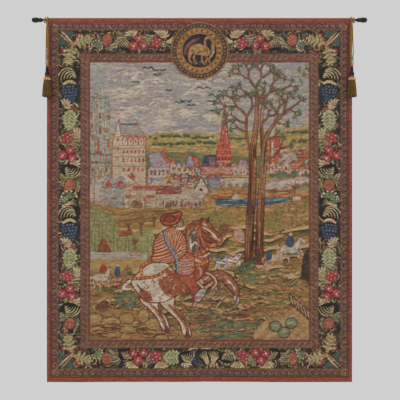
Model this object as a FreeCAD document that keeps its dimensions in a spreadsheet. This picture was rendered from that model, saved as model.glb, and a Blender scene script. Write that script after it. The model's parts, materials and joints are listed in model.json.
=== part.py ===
"""A tapestry wall hanging: a lined woven cloth on a finialled rod, with a tassel looped over each end.

Row frame: origin on the rod's axis at its middle, +X along the rod, the picture faces -Y, +Z up.
"""
import FreeCAD, Part

import math
import os

import Sketcher
from FreeCAD import Rotation, Vector

doc = FreeCAD.newDocument("TapestryWallHanging")

# ---------------------------------------------------------------- driving dimensions, in mm and degrees
SIZES = {
    # the rod and what closes its ends
    "rod_diameter": 16,
    "rod_wall": 1.5,
    "rod_past_cloth": 15,  # bare rod beyond each side of the cloth
    "insert_length": 24,
    "stud_diameter": 6,
    "stud_in_insert": 18,
    "stud_in_finial": 14,
    "stud_clearance": 0.05,  # radial
    # the cast finials
    "finial_neck_diameter": 9.5,
    "finial_neck_length": 5,
    "finial_shoulder_diameter": 20,
    "finial_bulb_diameter": 25.5,
    "finial_tip_diameter": 11,
    "finial_length": 54,
    "finial_flute_diameter": 5,
    # the woven cloth, its tunnel for the rod and its lining
    "cloth_width": 1340,
    "cloth_drop": 1590,  # rod axis to bottom edge
    "cloth_thickness": 1.4,
    "tunnel_clearance": 0.4,  # radial, rod to tunnel
    "tunnel_depth": 50,  # rod axis to the line of stitches
    "seam_allowance": 12,
    "hem_width": 22,
    "lining_thickness": 0.6,
    "lining_inset": 12,  # from the cloth's side and bottom edges
    "lining_gap": 2,  # below the seam allowance
    "stitch_length": 6,
    "stitch_pitch": 10,
    "stitch_thickness": 0.5,
    "stitch_margin": 5,  # from the sewn edge
    # the cords that the tassels hang by
    "cord_diameter": 6,
    "cord_clearance": 0.4,
    "tassel_past_cloth": -2.5,  # tassel axis beyond the cloth's side edge
    "wrap_over_cloth": 8,  # how far the winding reaches in over the cloth
    "wrap_back_angle": 135,  # from the front, over the top
    "knot_diameter": 13,
    "knot_drop": 21,  # rod axis to the upper knot
    "knot_clearance": 0.7,
    "middle_knot_drop": 146,  # upper knot to middle knot
    "middle_knot_width": 15.5,
    "middle_knot_height": 12,
    "strand_gap": 0.4,  # between the two strands where they lie together
    "left_spread": 5.6,  # widest, from the tassel's axis to a strand's centre
    "right_spread": 7.3,
    "eye_spread": 5.6,  # of the small eye under the middle knot
    # the tassels, as distances down from the upper knot and diameters
    "head_drop": 187.5,
    "head_length": 40,
    "head_cap_diameter": 13,
    "head_groove_diameter": 10.4,
    "head_bead_diameter": 16,
    "head_bowl_diameter": 20,
    "head_bore_diameter": 6,
    "tail_clearance": 0.08,  # radial, cord tail to bore
    "tail_stand": 1.2,  # how far the tail stands out of the head's top
    "collar_diameter": 21.5,
    "collar_height": 9,
    "ruff_diameter": 32,
    "ruff_thickness": 3,
    "ruff_height": 10,
    "skirt_diameter": 43,
    "skirt_length": 96,  # from the head's foot to the rim
    "skirt_trim": 3,  # how far the skirt's rim curves up from its middle
    "mould_diameter": 13,
    "mould_length": 46,
    "stopper_diameter": 10,
    "lean_clearance": 1.2,  # skirt's rim to the cloth
}

sheet = doc.addObject("Spreadsheet::Sheet", "Sizes")
for row, (alias, value) in enumerate(SIZES.items(), start=1):
    sheet.set(f"A{row}", alias)
    sheet.set(f"B{row}", str(value))
    sheet.setAlias(f"B{row}", alias)
doc.recompute()


class Size:
    """A length that keeps both its number and the formula of sheet cells that gives it."""

    def __init__(self, value, text=None):
        self.value = float(value)
        self.text = text or repr(float(value))

    def _join(self, sign, other, value):
        return Size(value, f"({self.text} {sign} {as_size(other).text})")

    def __add__(self, other):
        return self._join("+", other, self.value + as_size(other).value)

    def __sub__(self, other):
        return self._join("-", other, self.value - as_size(other).value)

    def __mul__(self, other):
        return self._join("*", other, self.value * as_size(other).value)

    def __truediv__(self, other):
        return self._join("/", other, self.value / as_size(other).value)

    def __neg__(self):
        return self * -1.0


def as_size(value):
    return value if isinstance(value, Size) else Size(value)


def cell(alias):
    return Size(sheet.get(alias), f"Sizes.{alias}")


def bind(obj, **properties):
    """Ties properties of obj to sheet formulas. A double underscore stands for a dot in the path."""
    for name, size in properties.items():
        obj.setExpression(name.replace("__", "."), as_size(size).text)
    return obj


def place(obj, x=0.0, y=0.0, z=0.0, axis=None, angle=0.0):
    """Turns obj by a fixed angle and ties its position to sheet formulas."""
    if axis is not None:
        obj.Placement = FreeCAD.Placement(Vector(0, 0, 0), Rotation(axis, angle))
    return bind(obj, Placement__Base__x=x, Placement__Base__y=y, Placement__Base__z=z)


X_AXIS, Y_AXIS, Z_AXIS = Vector(1, 0, 0), Vector(0, 1, 0), Vector(0, 0, 1)
SIDES = {"left": -1, "right": 1}

# ---------------------------------------------------------------- sizes that follow from the sheet
rod_radius = cell("rod_diameter") / 2
rod_half = cell("cloth_width") / 2 + cell("rod_past_cloth")
tunnel_inner = rod_radius + cell("tunnel_clearance")
tunnel_outer = tunnel_inner + cell("cloth_thickness")
knot_forward = tunnel_outer + cell("knot_diameter") / 2 + cell("knot_clearance")
tassel_out = cell("cloth_width") / 2 + cell("tassel_past_cloth")
seam_bottom = cell("tunnel_depth") + cell("seam_allowance")
tail_top = cell("head_drop") - cell("tail_stand")
skirt_bottom = cell("head_drop") + cell("head_length") + cell("skirt_length")
# The tassel leans on the cloth by its skirt's rim, so its cord hangs out of plumb by this angle.
lean = math.degrees(
    math.asin(
        (
            cell("skirt_diameter").value / 2
            + cell("lean_clearance").value
            + tunnel_outer.value
            - knot_forward.value
        )
        / skirt_bottom.value
    )
)


# ---------------------------------------------------------------- ways to make a piece
def origin_plane(body, role):
    return next(f for f in body.Origin.OriginFeatures if f.Role == role)


def new_body(label):
    body = doc.addObject("PartDesign::Body", label)
    body.Label = label
    return body


def new_sketch(body, role, name="Sketch"):
    sketch = body.newObject("Sketcher::SketchObject", name)
    sketch.AttachmentSupport = [(origin_plane(body, role), "")]
    sketch.MapMode = "FlatFace"
    return sketch


def pin_vertex(sketch, line, end, across, up):
    """Ties one end of a sketch line to formulas for its two coordinates."""
    for kind, size in (("DistanceX", across), ("DistanceY", up)):
        if abs(size.value) < 1e-9:
            other = "PointOnObject"
            axis_line = -2 if kind == "DistanceX" else -1
            sketch.addConstraint(Sketcher.Constraint(other, line, end, axis_line))
        else:
            number = sketch.addConstraint(
                Sketcher.Constraint(kind, -1, 1, line, end, size.value)
            )
            sketch.setExpression(f"Constraints[{number}]", size.text)


def outline(sketch, corners):
    """Draws a closed outline through corners, each a pair of formulas and all bound to the sheet."""
    corners = [(as_size(a), as_size(b)) for a, b in corners]
    points = [Vector(a.value, b.value, 0) for a, b in corners]
    first = sketch.GeometryCount
    count = len(points)
    for i in range(count):
        sketch.addGeometry(Part.LineSegment(points[i], points[(i + 1) % count]), False)
    for i in range(count):
        following = first + (i + 1) % count
        sketch.addConstraint(Sketcher.Constraint("Coincident", first + i, 2, following, 1))
    for i, (across, up) in enumerate(corners):
        pin_vertex(sketch, first + i, 1, across, up)


def circle(sketch, radius):
    number = sketch.addGeometry(
        Part.Circle(Vector(0, 0, 0), Vector(0, 0, 1), radius.value), False
    )
    sketch.addConstraint(Sketcher.Constraint("Coincident", number, 3, -1, 1))
    size = sketch.addConstraint(Sketcher.Constraint("Radius", number, radius.value))
    sketch.setExpression(f"Constraints[{size}]", radius.text)


def turned(label, corners):
    """A piece turned on the lathe: an outline of (radius, height) corners, revolved about Z."""
    body = new_body(label)
    sketch = new_sketch(body, "XZ_Plane", label + "_profile")
    outline(sketch, corners)
    spin = body.newObject("PartDesign::Revolution", label + "_turned")
    spin.Profile = sketch
    spin.ReferenceAxis = (sketch, ["V_Axis"])
    spin.Angle = 360
    sketch.Visibility = False
    return body


def ring_along_x(label, outer, inner, length):
    """A tube centred on the origin with its axis along X."""
    body = new_body(label)
    sketch = new_sketch(body, "YZ_Plane", label + "_section")
    circle(sketch, outer)
    circle(sketch, inner)
    pad = body.newObject("PartDesign::Pad", label + "_length")
    pad.Profile = sketch
    pad.Midplane = True
    bind(pad, Length=length)
    return body


def cylinder(name, radius, height, **position):
    shape = doc.addObject("Part::Cylinder", name)
    bind(shape, Radius=radius, Height=height)
    return place(shape, **position)


def cut(label, base, tool):
    result = doc.addObject("Part::Cut", label)
    result.Base, result.Tool, result.Label = base, tool, label
    return result


def free_shape(label, shape, placement=None):
    """A piece that no sketch or primitive makes."""
    piece = doc.addObject("Part::Feature", label)
    piece.Shape = shape
    piece.Label = label
    if placement is not None:
        piece.Placement = placement
    return piece


def edge_chamfer(body, size, wanted):
    """Chamfers the edges of the body's tip that wanted() picks."""
    doc.recompute()
    tip = body.Tip
    names = [f"Edge{i + 1}" for i, e in enumerate(tip.Shape.Edges) if wanted(e)]
    chamfer = body.newObject("PartDesign::Chamfer", body.Label + "_chamfer")
    chamfer.Base = (tip, names)
    chamfer.Size = size
    return chamfer


# ---------------------------------------------------------------- the rod
RIM_BREAK = 0.4  # chamfer on cut tube ends and studs


def rod():
    tube = ring_along_x("rod_tube", rod_radius, rod_radius - cell("rod_wall"), rod_half * 2)
    radius = rod_radius.value
    edge_chamfer(tube, RIM_BREAK, lambda e: abs(e.Curve.Radius - radius) < 1e-6
                 if isinstance(e.Curve, Part.Circle) else False)
    return [tube]


def end_insert(side, sign):
    """A threaded plug pressed flush into the end of the tube."""
    bore = cell("stud_diameter") / 2 + cell("stud_clearance")
    insert = ring_along_x(
        f"rod_insert_{side}", rod_radius - cell("rod_wall"), bore, cell("insert_length")
    )
    return place(insert, x=(rod_half - cell("insert_length") / 2) * sign)


def stud(side, sign):
    body = new_body(f"finial_stud_{side}")
    sketch = new_sketch(body, "YZ_Plane", f"finial_stud_{side}_section")
    circle(sketch, cell("stud_diameter") / 2)
    pad = body.newObject("PartDesign::Pad", f"finial_stud_{side}_length")
    pad.Profile = sketch
    pad.Midplane = True
    bind(pad, Length=cell("stud_in_insert") + cell("stud_in_finial"))
    middle = rod_half + (cell("stud_in_finial") - cell("stud_in_insert")) / 2
    edge_chamfer(body, RIM_BREAK, lambda e: isinstance(e.Curve, Part.Circle))
    return place(body, x=middle * sign)


FLUTES = 8


def finial(side, sign):
    """A cast bud: a narrow neck, a leafy shoulder, a fluted bulb and a blunt tip."""
    label = f"finial_{side}"
    neck = cell("finial_neck_diameter") / 2
    shoulder = cell("finial_shoulder_diameter") / 2
    bulb = cell("finial_bulb_diameter") / 2
    tip = cell("finial_tip_diameter") / 2
    long, start = cell("finial_length"), cell("finial_neck_length")
    bore, depth = cell("stud_diameter") / 2, cell("stud_in_finial")
    body = turned(label, [
        (bore, 0), (neck, 0), (neck, start),
        (shoulder * 0.82, start + (long - start) * 0.10),
        (shoulder, start + (long - start) * 0.20),
        (shoulder * 0.96, start + (long - start) * 0.30),
        (shoulder * 0.90, start + (long - start) * 0.37),
        (bulb * 0.93, start + (long - start) * 0.48),
        (bulb, start + (long - start) * 0.62),
        (bulb * 0.95, start + (long - start) * 0.76),
        (bulb * 0.75, start + (long - start) * 0.90),
        (tip, long), (0, long), (0, depth), (bore, depth),
    ])
    sketch = new_sketch(body, "XY_Plane", label + "_flute")
    flute = cell("finial_flute_diameter") / 2
    number = sketch.addGeometry(
        Part.Circle(Vector(bulb.value + flute.value * 0.5, 0, 0), Z_AXIS, flute.value), False
    )
    sketch.addConstraint(Sketcher.Constraint("PointOnObject", number, 3, -1))
    out = bulb + flute * 0.5
    for kind, size in (("DistanceX", out), ("Radius", flute)):
        arguments = (-1, 1, number, 3) if kind == "DistanceX" else (number,)
        index = sketch.addConstraint(Sketcher.Constraint(kind, *arguments, size.value))
        sketch.setExpression(f"Constraints[{index}]", size.text)
    pocket = body.newObject("PartDesign::Pocket", label + "_flute_cut")
    pocket.Profile = sketch
    pocket.Type = "ThroughAll"
    pocket.Reversed = True
    pattern = body.newObject("PartDesign::PolarPattern", label + "_flutes")
    pattern.Originals = [pocket]
    pattern.Axis = (origin_axis(body, "Z_Axis"), [""])
    pattern.Angle = 360
    pattern.Occurrences = FLUTES
    body.Tip = pattern
    return place(body, x=rod_half * sign, axis=Y_AXIS, angle=90 * sign)


def origin_axis(body, role):
    return next(f for f in body.Origin.OriginFeatures if f.Role == role)


# ---------------------------------------------------------------- the cloth
def panel():
    """The flat front of the woven cloth, with its edges turned to the back at the sides and foot."""
    body = new_body("panel")
    half, drop = cell("cloth_width") / 2, cell("cloth_drop")
    sketch = new_sketch(body, "YZ_Plane", "panel_section")
    outline(sketch, [
        (-tunnel_outer, -drop), (-tunnel_outer, 0), (-tunnel_inner, 0), (-tunnel_inner, -drop),
    ])
    pad = body.newObject("PartDesign::Pad", "panel_width")
    pad.Profile = sketch
    pad.Midplane = True
    bind(pad, Length=cell("cloth_width"))
    doc.recompute()
    hems = new_sketch(body, "XZ_Plane", "hem_outline")
    hems.AttachmentOffset = FreeCAD.Placement(Vector(0, 0, tunnel_inner.value), Rotation())
    hems.setExpression("AttachmentOffset.Base.z", tunnel_inner.text)
    inner, top, foot = half - cell("hem_width"), -seam_bottom - cell("lining_gap"), -drop
    outline(hems, [
        (-half, top), (-half, foot), (half, foot), (half, top),
        (inner, top), (inner, foot + cell("hem_width")),
        (-inner, foot + cell("hem_width")), (-inner, top),
    ])
    fold = body.newObject("PartDesign::Pad", "turned_hems")
    fold.Profile = hems
    fold.Reversed = True
    bind(fold, Length=cell("cloth_thickness"))
    return body


def rod_tunnel():
    """The top of the cloth, carried over the rod and sewn down behind, drawn as a section."""
    body = new_body("rod_tunnel")
    sketch = new_sketch(body, "YZ_Plane", "tunnel_section")
    inner, outer = tunnel_inner, tunnel_outer
    depth, low, thick = cell("tunnel_depth"), seam_bottom, cell("cloth_thickness")
    # The back of the tunnel is the tangent to the rod's clearance circle from the seam.
    turn = 2 * math.atan2(depth.value, inner.value) - math.pi
    away = Vector(math.cos(turn), math.sin(turn), 0)
    seam = Vector(-inner.value, -depth.value, 0)
    reach = (away * inner.value - seam).normalize()
    outer_leave = away * outer.value
    down = (-inner.value + thick.value - outer_leave.x) / reach.x
    outer_seam = outer_leave + reach * down

    def line(start, end):
        return sketch.addGeometry(Part.LineSegment(start, end), False)

    def arc(radius):
        full = Part.Circle(Vector(0, 0, 0), Z_AXIS, radius.value)
        return sketch.addGeometry(Part.ArcOfCircle(full, turn, math.pi), False)

    over_outer, over_inner = arc(outer), arc(inner)
    edge = line(Vector(-outer.value, 0, 0), Vector(-inner.value, 0, 0))
    inside = line(away * inner.value, seam)
    outside = line(outer_leave, outer_seam)
    flap = line(outer_seam, Vector(outer_seam.x, -low.value, 0))
    flap_end = line(Vector(outer_seam.x, -low.value, 0), Vector(-inner.value, -low.value, 0))
    flap_front = line(Vector(-inner.value, -low.value, 0), seam)
    joins = [
        (over_outer, 2, edge, 1), (edge, 2, over_inner, 2), (inside, 2, flap_front, 2),
        (outside, 2, flap, 1), (flap, 2, flap_end, 1), (flap_end, 2, flap_front, 1),
    ]
    for first, first_end, second, second_end in joins:
        sketch.addConstraint(
            Sketcher.Constraint("Coincident", first, first_end, second, second_end)
        )
    sketch.addConstraint(Sketcher.Constraint("Tangent", over_inner, 1, inside, 1))
    sketch.addConstraint(Sketcher.Constraint("Tangent", over_outer, 1, outside, 1))
    sketch.addConstraint(Sketcher.Constraint("Parallel", inside, outside))
    for curve in (over_outer, over_inner):
        sketch.addConstraint(Sketcher.Constraint("Coincident", curve, 3, -1, 1))
    pin_vertex(sketch, edge, 1, -outer, Size(0))
    pin_vertex(sketch, edge, 2, -inner, Size(0))
    pin_vertex(sketch, flap_front, 2, -inner, -depth)
    pin_vertex(sketch, flap_front, 1, -inner, -low)
    sketch.addConstraint(Sketcher.Constraint("Vertical", flap))
    sketch.addConstraint(Sketcher.Constraint("Horizontal", flap_end))
    width = sketch.addConstraint(
        Sketcher.Constraint("DistanceX", flap_end, 2, flap_end, 1, thick.value)
    )
    sketch.setExpression(f"Constraints[{width}]", thick.text)
    pad = body.newObject("PartDesign::Pad", "tunnel_width")
    pad.Profile = sketch
    pad.Midplane = True
    bind(pad, Length=cell("cloth_width"))
    return body


def woven_cloth():
    """The whole cloth: one length, front, tunnel and turned hems together."""
    whole = doc.addObject("Part::MultiFuse", "woven_cloth")
    whole.Label = "woven_cloth"
    whole.Shapes = [panel(), rod_tunnel()]
    whole.Refine = True
    return whole


def lining():
    """A plain cotton backing, slipped on over the turned hems."""
    piece = doc.addObject("Part::Box", "lining")
    piece.Label = "lining"
    half = cell("cloth_width") / 2 - cell("lining_inset")
    top, foot = -seam_bottom - cell("lining_gap"), cell("lining_inset") - cell("cloth_drop")
    bind(piece, Length=half * 2, Width=cell("lining_thickness"), Height=top - foot)
    return place(piece, x=-half, y=cell("cloth_thickness") - tunnel_inner, z=foot)


def stitch_row(start, end, depth_at):
    """Separate running stitches from start to end, lying on the back of the cloth at depth_at."""
    pitch, long = cell("stitch_pitch").value, cell("stitch_length").value
    thick = cell("stitch_thickness").value
    run = end - start
    ahead = Vector(run).normalize()
    count = int(run.Length // pitch)
    margin = (run.Length - count * pitch + pitch - long) / 2
    across = Vector(0, 1, 0).cross(ahead)
    stitches = []
    for i in range(count):
        corner = start + ahead * (margin + i * pitch) - across * (thick / 2)
        corner.y = depth_at
        box = Part.makeBox(long, thick, thick)
        turn = Rotation(ahead, Vector(0, 1, 0), across, "XYZ")
        box.Placement = FreeCAD.Placement(corner, turn)
        stitches.append(box)
    return stitches


def stitching():
    """The stitches that close the tunnel and those that hold the lining to the turned hems."""
    half, drop = cell("cloth_width").value / 2, cell("cloth_drop").value
    back = cell("cloth_thickness").value - tunnel_inner.value
    middle = -(cell("tunnel_depth").value + cell("seam_allowance").value / 2)
    tunnel = stitch_row(Vector(-half, 0, middle), Vector(half, 0, middle), back)
    edge = cell("lining_inset").value + cell("stitch_margin").value
    top = -(seam_bottom.value + cell("lining_gap").value)
    on_lining = back + cell("lining_thickness").value
    foot = edge - drop
    hems = stitch_row(Vector(edge - half, 0, foot), Vector(half - edge, 0, foot), on_lining)
    gap = cell("stitch_pitch").value
    for x in (edge - half, half - edge):
        hems += stitch_row(Vector(x, 0, foot + gap), Vector(x, 0, top), on_lining)
    return [
        free_shape("tunnel_stitches", Part.makeCompound(tunnel)),
        free_shape("lining_stitches", Part.makeCompound(hems)),
    ]


# ---------------------------------------------------------------- the tassels and their cords
def hanging(side_sign):
    """The tassel's own frame: its origin at the upper knot, -Z down the cord, which leans forward."""
    knot = Vector(
        tassel_out.value * side_sign, -knot_forward.value, -cell("knot_drop").value
    )
    return FreeCAD.Placement(knot, Rotation(X_AXIS, -lean))


def bound_hanging(piece, side_sign):
    """Puts a parametric piece in the tassel's frame, with its position tied to the sheet."""
    piece.Placement = hanging(side_sign)
    return bind(
        piece,
        Placement__Base__x=tassel_out * side_sign,
        Placement__Base__y=-knot_forward,
        Placement__Base__z=-cell("knot_drop"),
    )


def cord_wrap(side, sign):
    """The winding: turns on the bare rod, one turn carried over the cloth's corner, and the gather
    from both down to the knot."""
    cord, gap = cell("cord_diameter"), cell("cord_clearance")
    half = cell("cloth_width") / 2
    bare_start, bare_end = half + gap * 2, rod_half - gap
    over_inner = tunnel_outer + gap
    over_outer = over_inner + cord
    over_start = half - cell("wrap_over_cloth")
    back = cell("wrap_back_angle")

    def tube(name, radius, start, end, angle=None):
        """A cylinder along X from start to end, on this side."""
        low = start if sign > 0 else -end
        shape = doc.addObject("Part::Cylinder", f"{name}_{side}")
        bind(shape, Radius=radius, Height=end - start)
        # A partial cylinder starts at the front and runs over the top; a whole one has its seam
        # low at the back.
        begin = Vector(0, 1, -1).normalize() if angle is None else Vector(0, -1, 0)
        turn = Rotation(begin, Vector(0, begin.z, -begin.y), Vector(-1, 0, 0), "ZXY")
        shape.Placement = FreeCAD.Placement(Vector(0, 0, 0), turn)
        if angle is not None:
            bind(shape, Angle=angle)
        return place(shape, x=low + (end - start))

    bare = tube("wrap_bare", rod_radius + gap + cord, bare_start, bare_end)
    over = tube("wrap_over", over_outer, over_start, bare_start + gap, back)
    wedge = doc.addObject("Part::Wedge", f"wrap_gather_{side}")
    middle = (bare_end + over_start) / 2
    spread = (bare_end - over_start) / 2 - gap
    narrow, thick = cord * 0.9, cord / 2
    front = -(tunnel_outer + gap + cord / 2)
    fall = Vector(0, -(knot_forward + front).value, -(cell("knot_drop") + thick / 2).value)
    bind(wedge, Xmin=-spread, Xmax=spread, Ymin=0, Ymax=fall.Length, Zmin=-thick, Zmax=thick,
         X2min=-narrow, X2max=narrow, Z2min=-thick, Z2max=thick)
    wedge.Placement = FreeCAD.Placement(Vector(0, 0, 0), Rotation(Y_AXIS, fall))
    place(wedge, x=middle * sign, y=front, z=thick / 2)
    fused = doc.addObject("Part::MultiFuse", f"wrap_whole_{side}")
    fused.Shapes = [bare, over, wedge]
    rod_room = tube("wrap_rod_room", rod_radius + gap, half - 30, rod_half + 10)
    cloth_room = tube("wrap_cloth_room", over_inner, half - 30, bare_start)
    rooms = doc.addObject("Part::MultiFuse", f"wrap_rooms_{side}")
    rooms.Shapes = [rod_room, cloth_room]
    return cut(f"cord_wrap_{side}", fused, rooms)


def round_knot(label, side_sign, diameter):
    """The upper knot, a ball that the strands below it swing about."""
    piece = doc.addObject("Part::Sphere", label)
    piece.Label = label
    bind(piece, Radius=diameter / 2)
    return bound_hanging(piece, side_sign)


def knot(label, side_sign, width, height, drop):
    """A tied knot as a plain ellipsoid on the tassel's axis."""
    piece = doc.addObject("Part::Ellipsoid", label)
    piece.Label = label
    bind(piece, Radius1=height / 2, Radius2=width / 2, Radius3=width / 2)
    piece.Placement = hanging(side_sign).multiply(
        FreeCAD.Placement(Vector(0, 0, -drop.value), Rotation())
    )
    return piece


# Each strand's course, as shares: of the way down, then of the way out from lying closed to its
# widest. The strands bow apart above the middle knot and open in an eye below it.
BOW = [(0.18, 0.04), (0.35, 0.26), (0.55, 0.54), (0.73, 0.90), (0.885, 1.0)]
EYE = [(0.34, 1.0), (0.69, 0.82)]
STRAND_DEPTH = [0, 0.5, 1.0, 0.7, 0.2, -0.3, 0, 0.3, 0.2, 0]  # mm, strand_a forward, strand_b back
ARC_SHARE = 0.45


def cord_tube(label, points, diameter):
    """A round cord along straight runs joined by tangent arcs, each as large as its runs allow."""
    path, radii, here = [], [], points[0]
    for before, corner, after in zip(points, points[1:], points[2:]):
        back, ahead = (before - corner), (after - corner)
        reach = ARC_SHARE * min(back.Length, ahead.Length)
        back.normalize(), ahead.normalize()
        turn = math.pi - back.getAngle(ahead)
        start, end = corner + back * reach, corner + ahead * reach
        radius = reach / math.tan(turn / 2)
        radii.append(radius)
        centre_way = (back + ahead).normalize()
        sagitta = radius * (1 / math.cos(turn / 2) - 1)
        path.append(Part.LineSegment(here, start).toShape())
        path.append(Part.Arc(start, corner + centre_way * sagitta, end).toShape())
        here = end
    path.append(Part.LineSegment(here, points[-1]).toShape())
    wire = Part.Wire(path)
    first = (points[1] - points[0]).normalize()
    section = Part.Wire(Part.makeCircle(diameter / 2, points[0], first))
    tube = wire.makePipeShell([section], True, True)
    expected = math.pi * diameter**2 / 4 * wire.Length
    print(f"{label}: length {wire.Length:.1f} mm, tightest radius {min(radii):.1f} mm, "
          f"volume is {tube.Volume / expected:.4f} of section times length")
    if not tube.isValid() or abs(tube.Volume / expected - 1) > 0.01:
        raise RuntimeError(f"{label} is not a sound tube")
    return tube


def strands(side, sign):
    """The two halves of the cord from the upper knot to the tassel's head."""
    closed = (cell("cord_diameter") + cell("strand_gap")).value / 2
    bow = cell(f"{side}_spread").value - closed
    eye = cell("eye_spread").value - closed
    top = (cell("knot_diameter") / 2 + cell("cord_clearance")).value
    middle = cell("middle_knot_drop").value
    bottom = tail_top.value
    course = [(closed, top)]
    course += [(closed + bow * out, middle * down) for down, out in BOW]
    course += [(closed, middle)]
    course += [(closed + eye * out, middle + (bottom - middle) * down) for down, out in EYE]
    course += [(closed, bottom)]
    pieces = []
    for label, way in (("strand_a", -1), ("strand_b", 1)):
        points = [
            Vector(out * way * sign, forward * way, -down)
            for (out, down), forward in zip(course, STRAND_DEPTH)
        ]
        tube = cord_tube(f"{label}_{side}", points, cell("cord_diameter").value)
        pieces.append(free_shape(f"{label}_{side}", tube, hanging(sign)))
    return pieces


def tassel(side, sign):
    """Turned head, gold collar and ruff, and a skirt wound on a wooden mould with the cord's tail
    knotted below it."""
    top = cell("head_drop")
    bore = cell("head_bore_diameter") / 2
    cap, groove = cell("head_cap_diameter") / 2, cell("head_groove_diameter") / 2
    bead, bowl = cell("head_bead_diameter") / 2, cell("head_bowl_diameter") / 2
    long = cell("head_length")

    def down(share):
        return -(top + long * share)

    head = turned(f"tassel_head_{side}", [
        (bore, down(0)), (cap * 0.82, down(0)), (cap, down(0.05)), (cap, down(0.15)),
        (cap * 0.9, down(0.20)), (groove, down(0.23)), (groove, down(0.27)),
        (bead * 0.9, down(0.32)), (bead, down(0.38)), (bead * 0.92, down(0.45)),
        (groove * 1.2, down(0.50)), (groove * 1.2, down(0.54)),
        (bowl * 0.84, down(0.62)), (bowl * 0.97, down(0.72)), (bowl, down(0.82)),
        (bowl * 0.97, down(0.92)), (bowl * 0.88, down(1)), (bore, down(1)),
    ])
    under_head = top + long
    mould_radius = cell("mould_diameter") / 2
    collar_radius = cell("collar_diameter") / 2
    collar_high = cell("collar_height")

    def ring(label, inside, outside, start, height, round_off):
        """A gimp ring: a band with its outer corners taken off."""
        return turned(label, [
            (inside, -start), (outside - round_off, -start), (outside, -(start + round_off)),
            (outside, -(start + height - round_off)), (outside - round_off, -(start + height)),
            (inside, -(start + height)),
        ])

    collar = ring(f"tassel_collar_{side}", mould_radius, collar_radius, under_head, collar_high,
                  collar_high * 0.25)
    ruff_top = under_head + collar_high
    ruff_high = cell("ruff_height")
    ruff_inside = cell("ruff_diameter") / 2 - cell("ruff_thickness")
    ruff = ring(f"tassel_ruff_{side}", ruff_inside, cell("ruff_diameter") / 2, ruff_top,
                ruff_high, cell("ruff_thickness") * 0.45)
    mould_end = under_head + cell("mould_length")
    mould = turned(f"tassel_mould_{side}", [
        (bore, -under_head), (mould_radius, -under_head), (mould_radius, -mould_end),
        (bore, -mould_end),
    ])
    stopper = cell("stopper_diameter") / 2
    stopper_room = cell("cord_clearance")
    stopper_bottom = mould_end + stopper * 2 + stopper_room * 2
    hem = cell("skirt_diameter") / 2
    foot, trim = skirt_bottom, cell("skirt_trim")
    below_ruff = ruff_top + ruff_high
    skirt = turned(f"tassel_skirt_{side}", [
        (mould_radius, -ruff_top), (ruff_inside, -ruff_top), (ruff_inside, -below_ruff),
        (ruff_inside + (hem - ruff_inside) * 0.36, -(below_ruff + ruff_high * 0.4)),
        (ruff_inside + (hem - ruff_inside) * 0.72, -(below_ruff + (foot - below_ruff) * 0.5)),
        (hem, -(foot - trim)), (hem * 0.6, -(foot - trim * 0.3)), (0, -foot),
        (0, -stopper_bottom), (mould_radius, -stopper_bottom),
    ])
    tail_radius = bore - cell("tail_clearance")
    tail_bottom = mould_end + stopper_room * 2
    tail = turned(f"cord_tail_{side}", [
        (0, -tail_top), (tail_radius, -tail_top),
        (tail_radius, -tail_bottom), (0, -tail_bottom),
    ])
    for piece in (head, collar, ruff, mould, skirt, tail):
        bound_hanging(piece, sign)
    stop = knot(f"stopper_knot_{side}", sign, stopper * 2, stopper * 2,
                mould_end + stopper + stopper_room)
    return [head, collar, ruff, mould, skirt, tail, stop]


# ---------------------------------------------------------------- build and write
pieces = rod() + [woven_cloth(), lining()] + stitching()
for side_name, direction in SIDES.items():
    pieces += [end_insert(side_name, direction), stud(side_name, direction)]
    pieces.append(finial(side_name, direction))
    pieces.append(cord_wrap(side_name, direction))
    pieces.append(round_knot(f"upper_knot_{side_name}", direction, cell("knot_diameter")))
    pieces += strands(side_name, direction)
    pieces.append(
        knot(f"middle_knot_{side_name}", direction, cell("middle_knot_width"),
             cell("middle_knot_height"), cell("middle_knot_drop"))
    )
    pieces += tassel(side_name, direction)
doc.recompute()

for member in doc.Objects:
    if "Invalid" in member.State or "Error" in member.State:
        raise RuntimeError(f"{member.Label} failed: {member.State}")
os.makedirs("parts", exist_ok=True)
for piece in pieces:
    shape = piece.Shape
    if shape.isNull() or not shape.isValid() or not shape.Solids:
        raise RuntimeError(f"{piece.Label} has no sound shape")
    shape.exportStep(f"parts/{piece.Label}.step")
print(f"{len(pieces)} pieces, lean {lean:.3f} degrees")
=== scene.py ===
import json
import math
import random

import bpy
import numpy as np
from mathutils import Matrix, Vector


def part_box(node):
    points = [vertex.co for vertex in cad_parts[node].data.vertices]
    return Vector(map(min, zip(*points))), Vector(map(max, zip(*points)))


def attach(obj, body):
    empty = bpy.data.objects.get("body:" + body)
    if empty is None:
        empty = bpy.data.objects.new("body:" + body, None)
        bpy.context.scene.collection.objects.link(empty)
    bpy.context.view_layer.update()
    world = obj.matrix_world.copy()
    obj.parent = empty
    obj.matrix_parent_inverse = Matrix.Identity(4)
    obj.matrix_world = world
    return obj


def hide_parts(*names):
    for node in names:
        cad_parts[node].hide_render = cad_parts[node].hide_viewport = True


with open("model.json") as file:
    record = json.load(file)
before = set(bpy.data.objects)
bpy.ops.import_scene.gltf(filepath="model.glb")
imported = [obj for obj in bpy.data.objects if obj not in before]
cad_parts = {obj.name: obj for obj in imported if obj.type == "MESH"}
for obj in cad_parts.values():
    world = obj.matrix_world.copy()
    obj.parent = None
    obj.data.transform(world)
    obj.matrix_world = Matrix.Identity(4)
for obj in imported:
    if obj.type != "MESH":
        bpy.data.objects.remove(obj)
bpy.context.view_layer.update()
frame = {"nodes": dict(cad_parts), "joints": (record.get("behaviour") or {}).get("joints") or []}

MM = 0.001
SIDES = {"left": -1, "right": 1}
joints = {joint["name"]: joint for joint in frame["joints"]}

for obj in bpy.context.selected_objects:
    obj.select_set(False)

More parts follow.
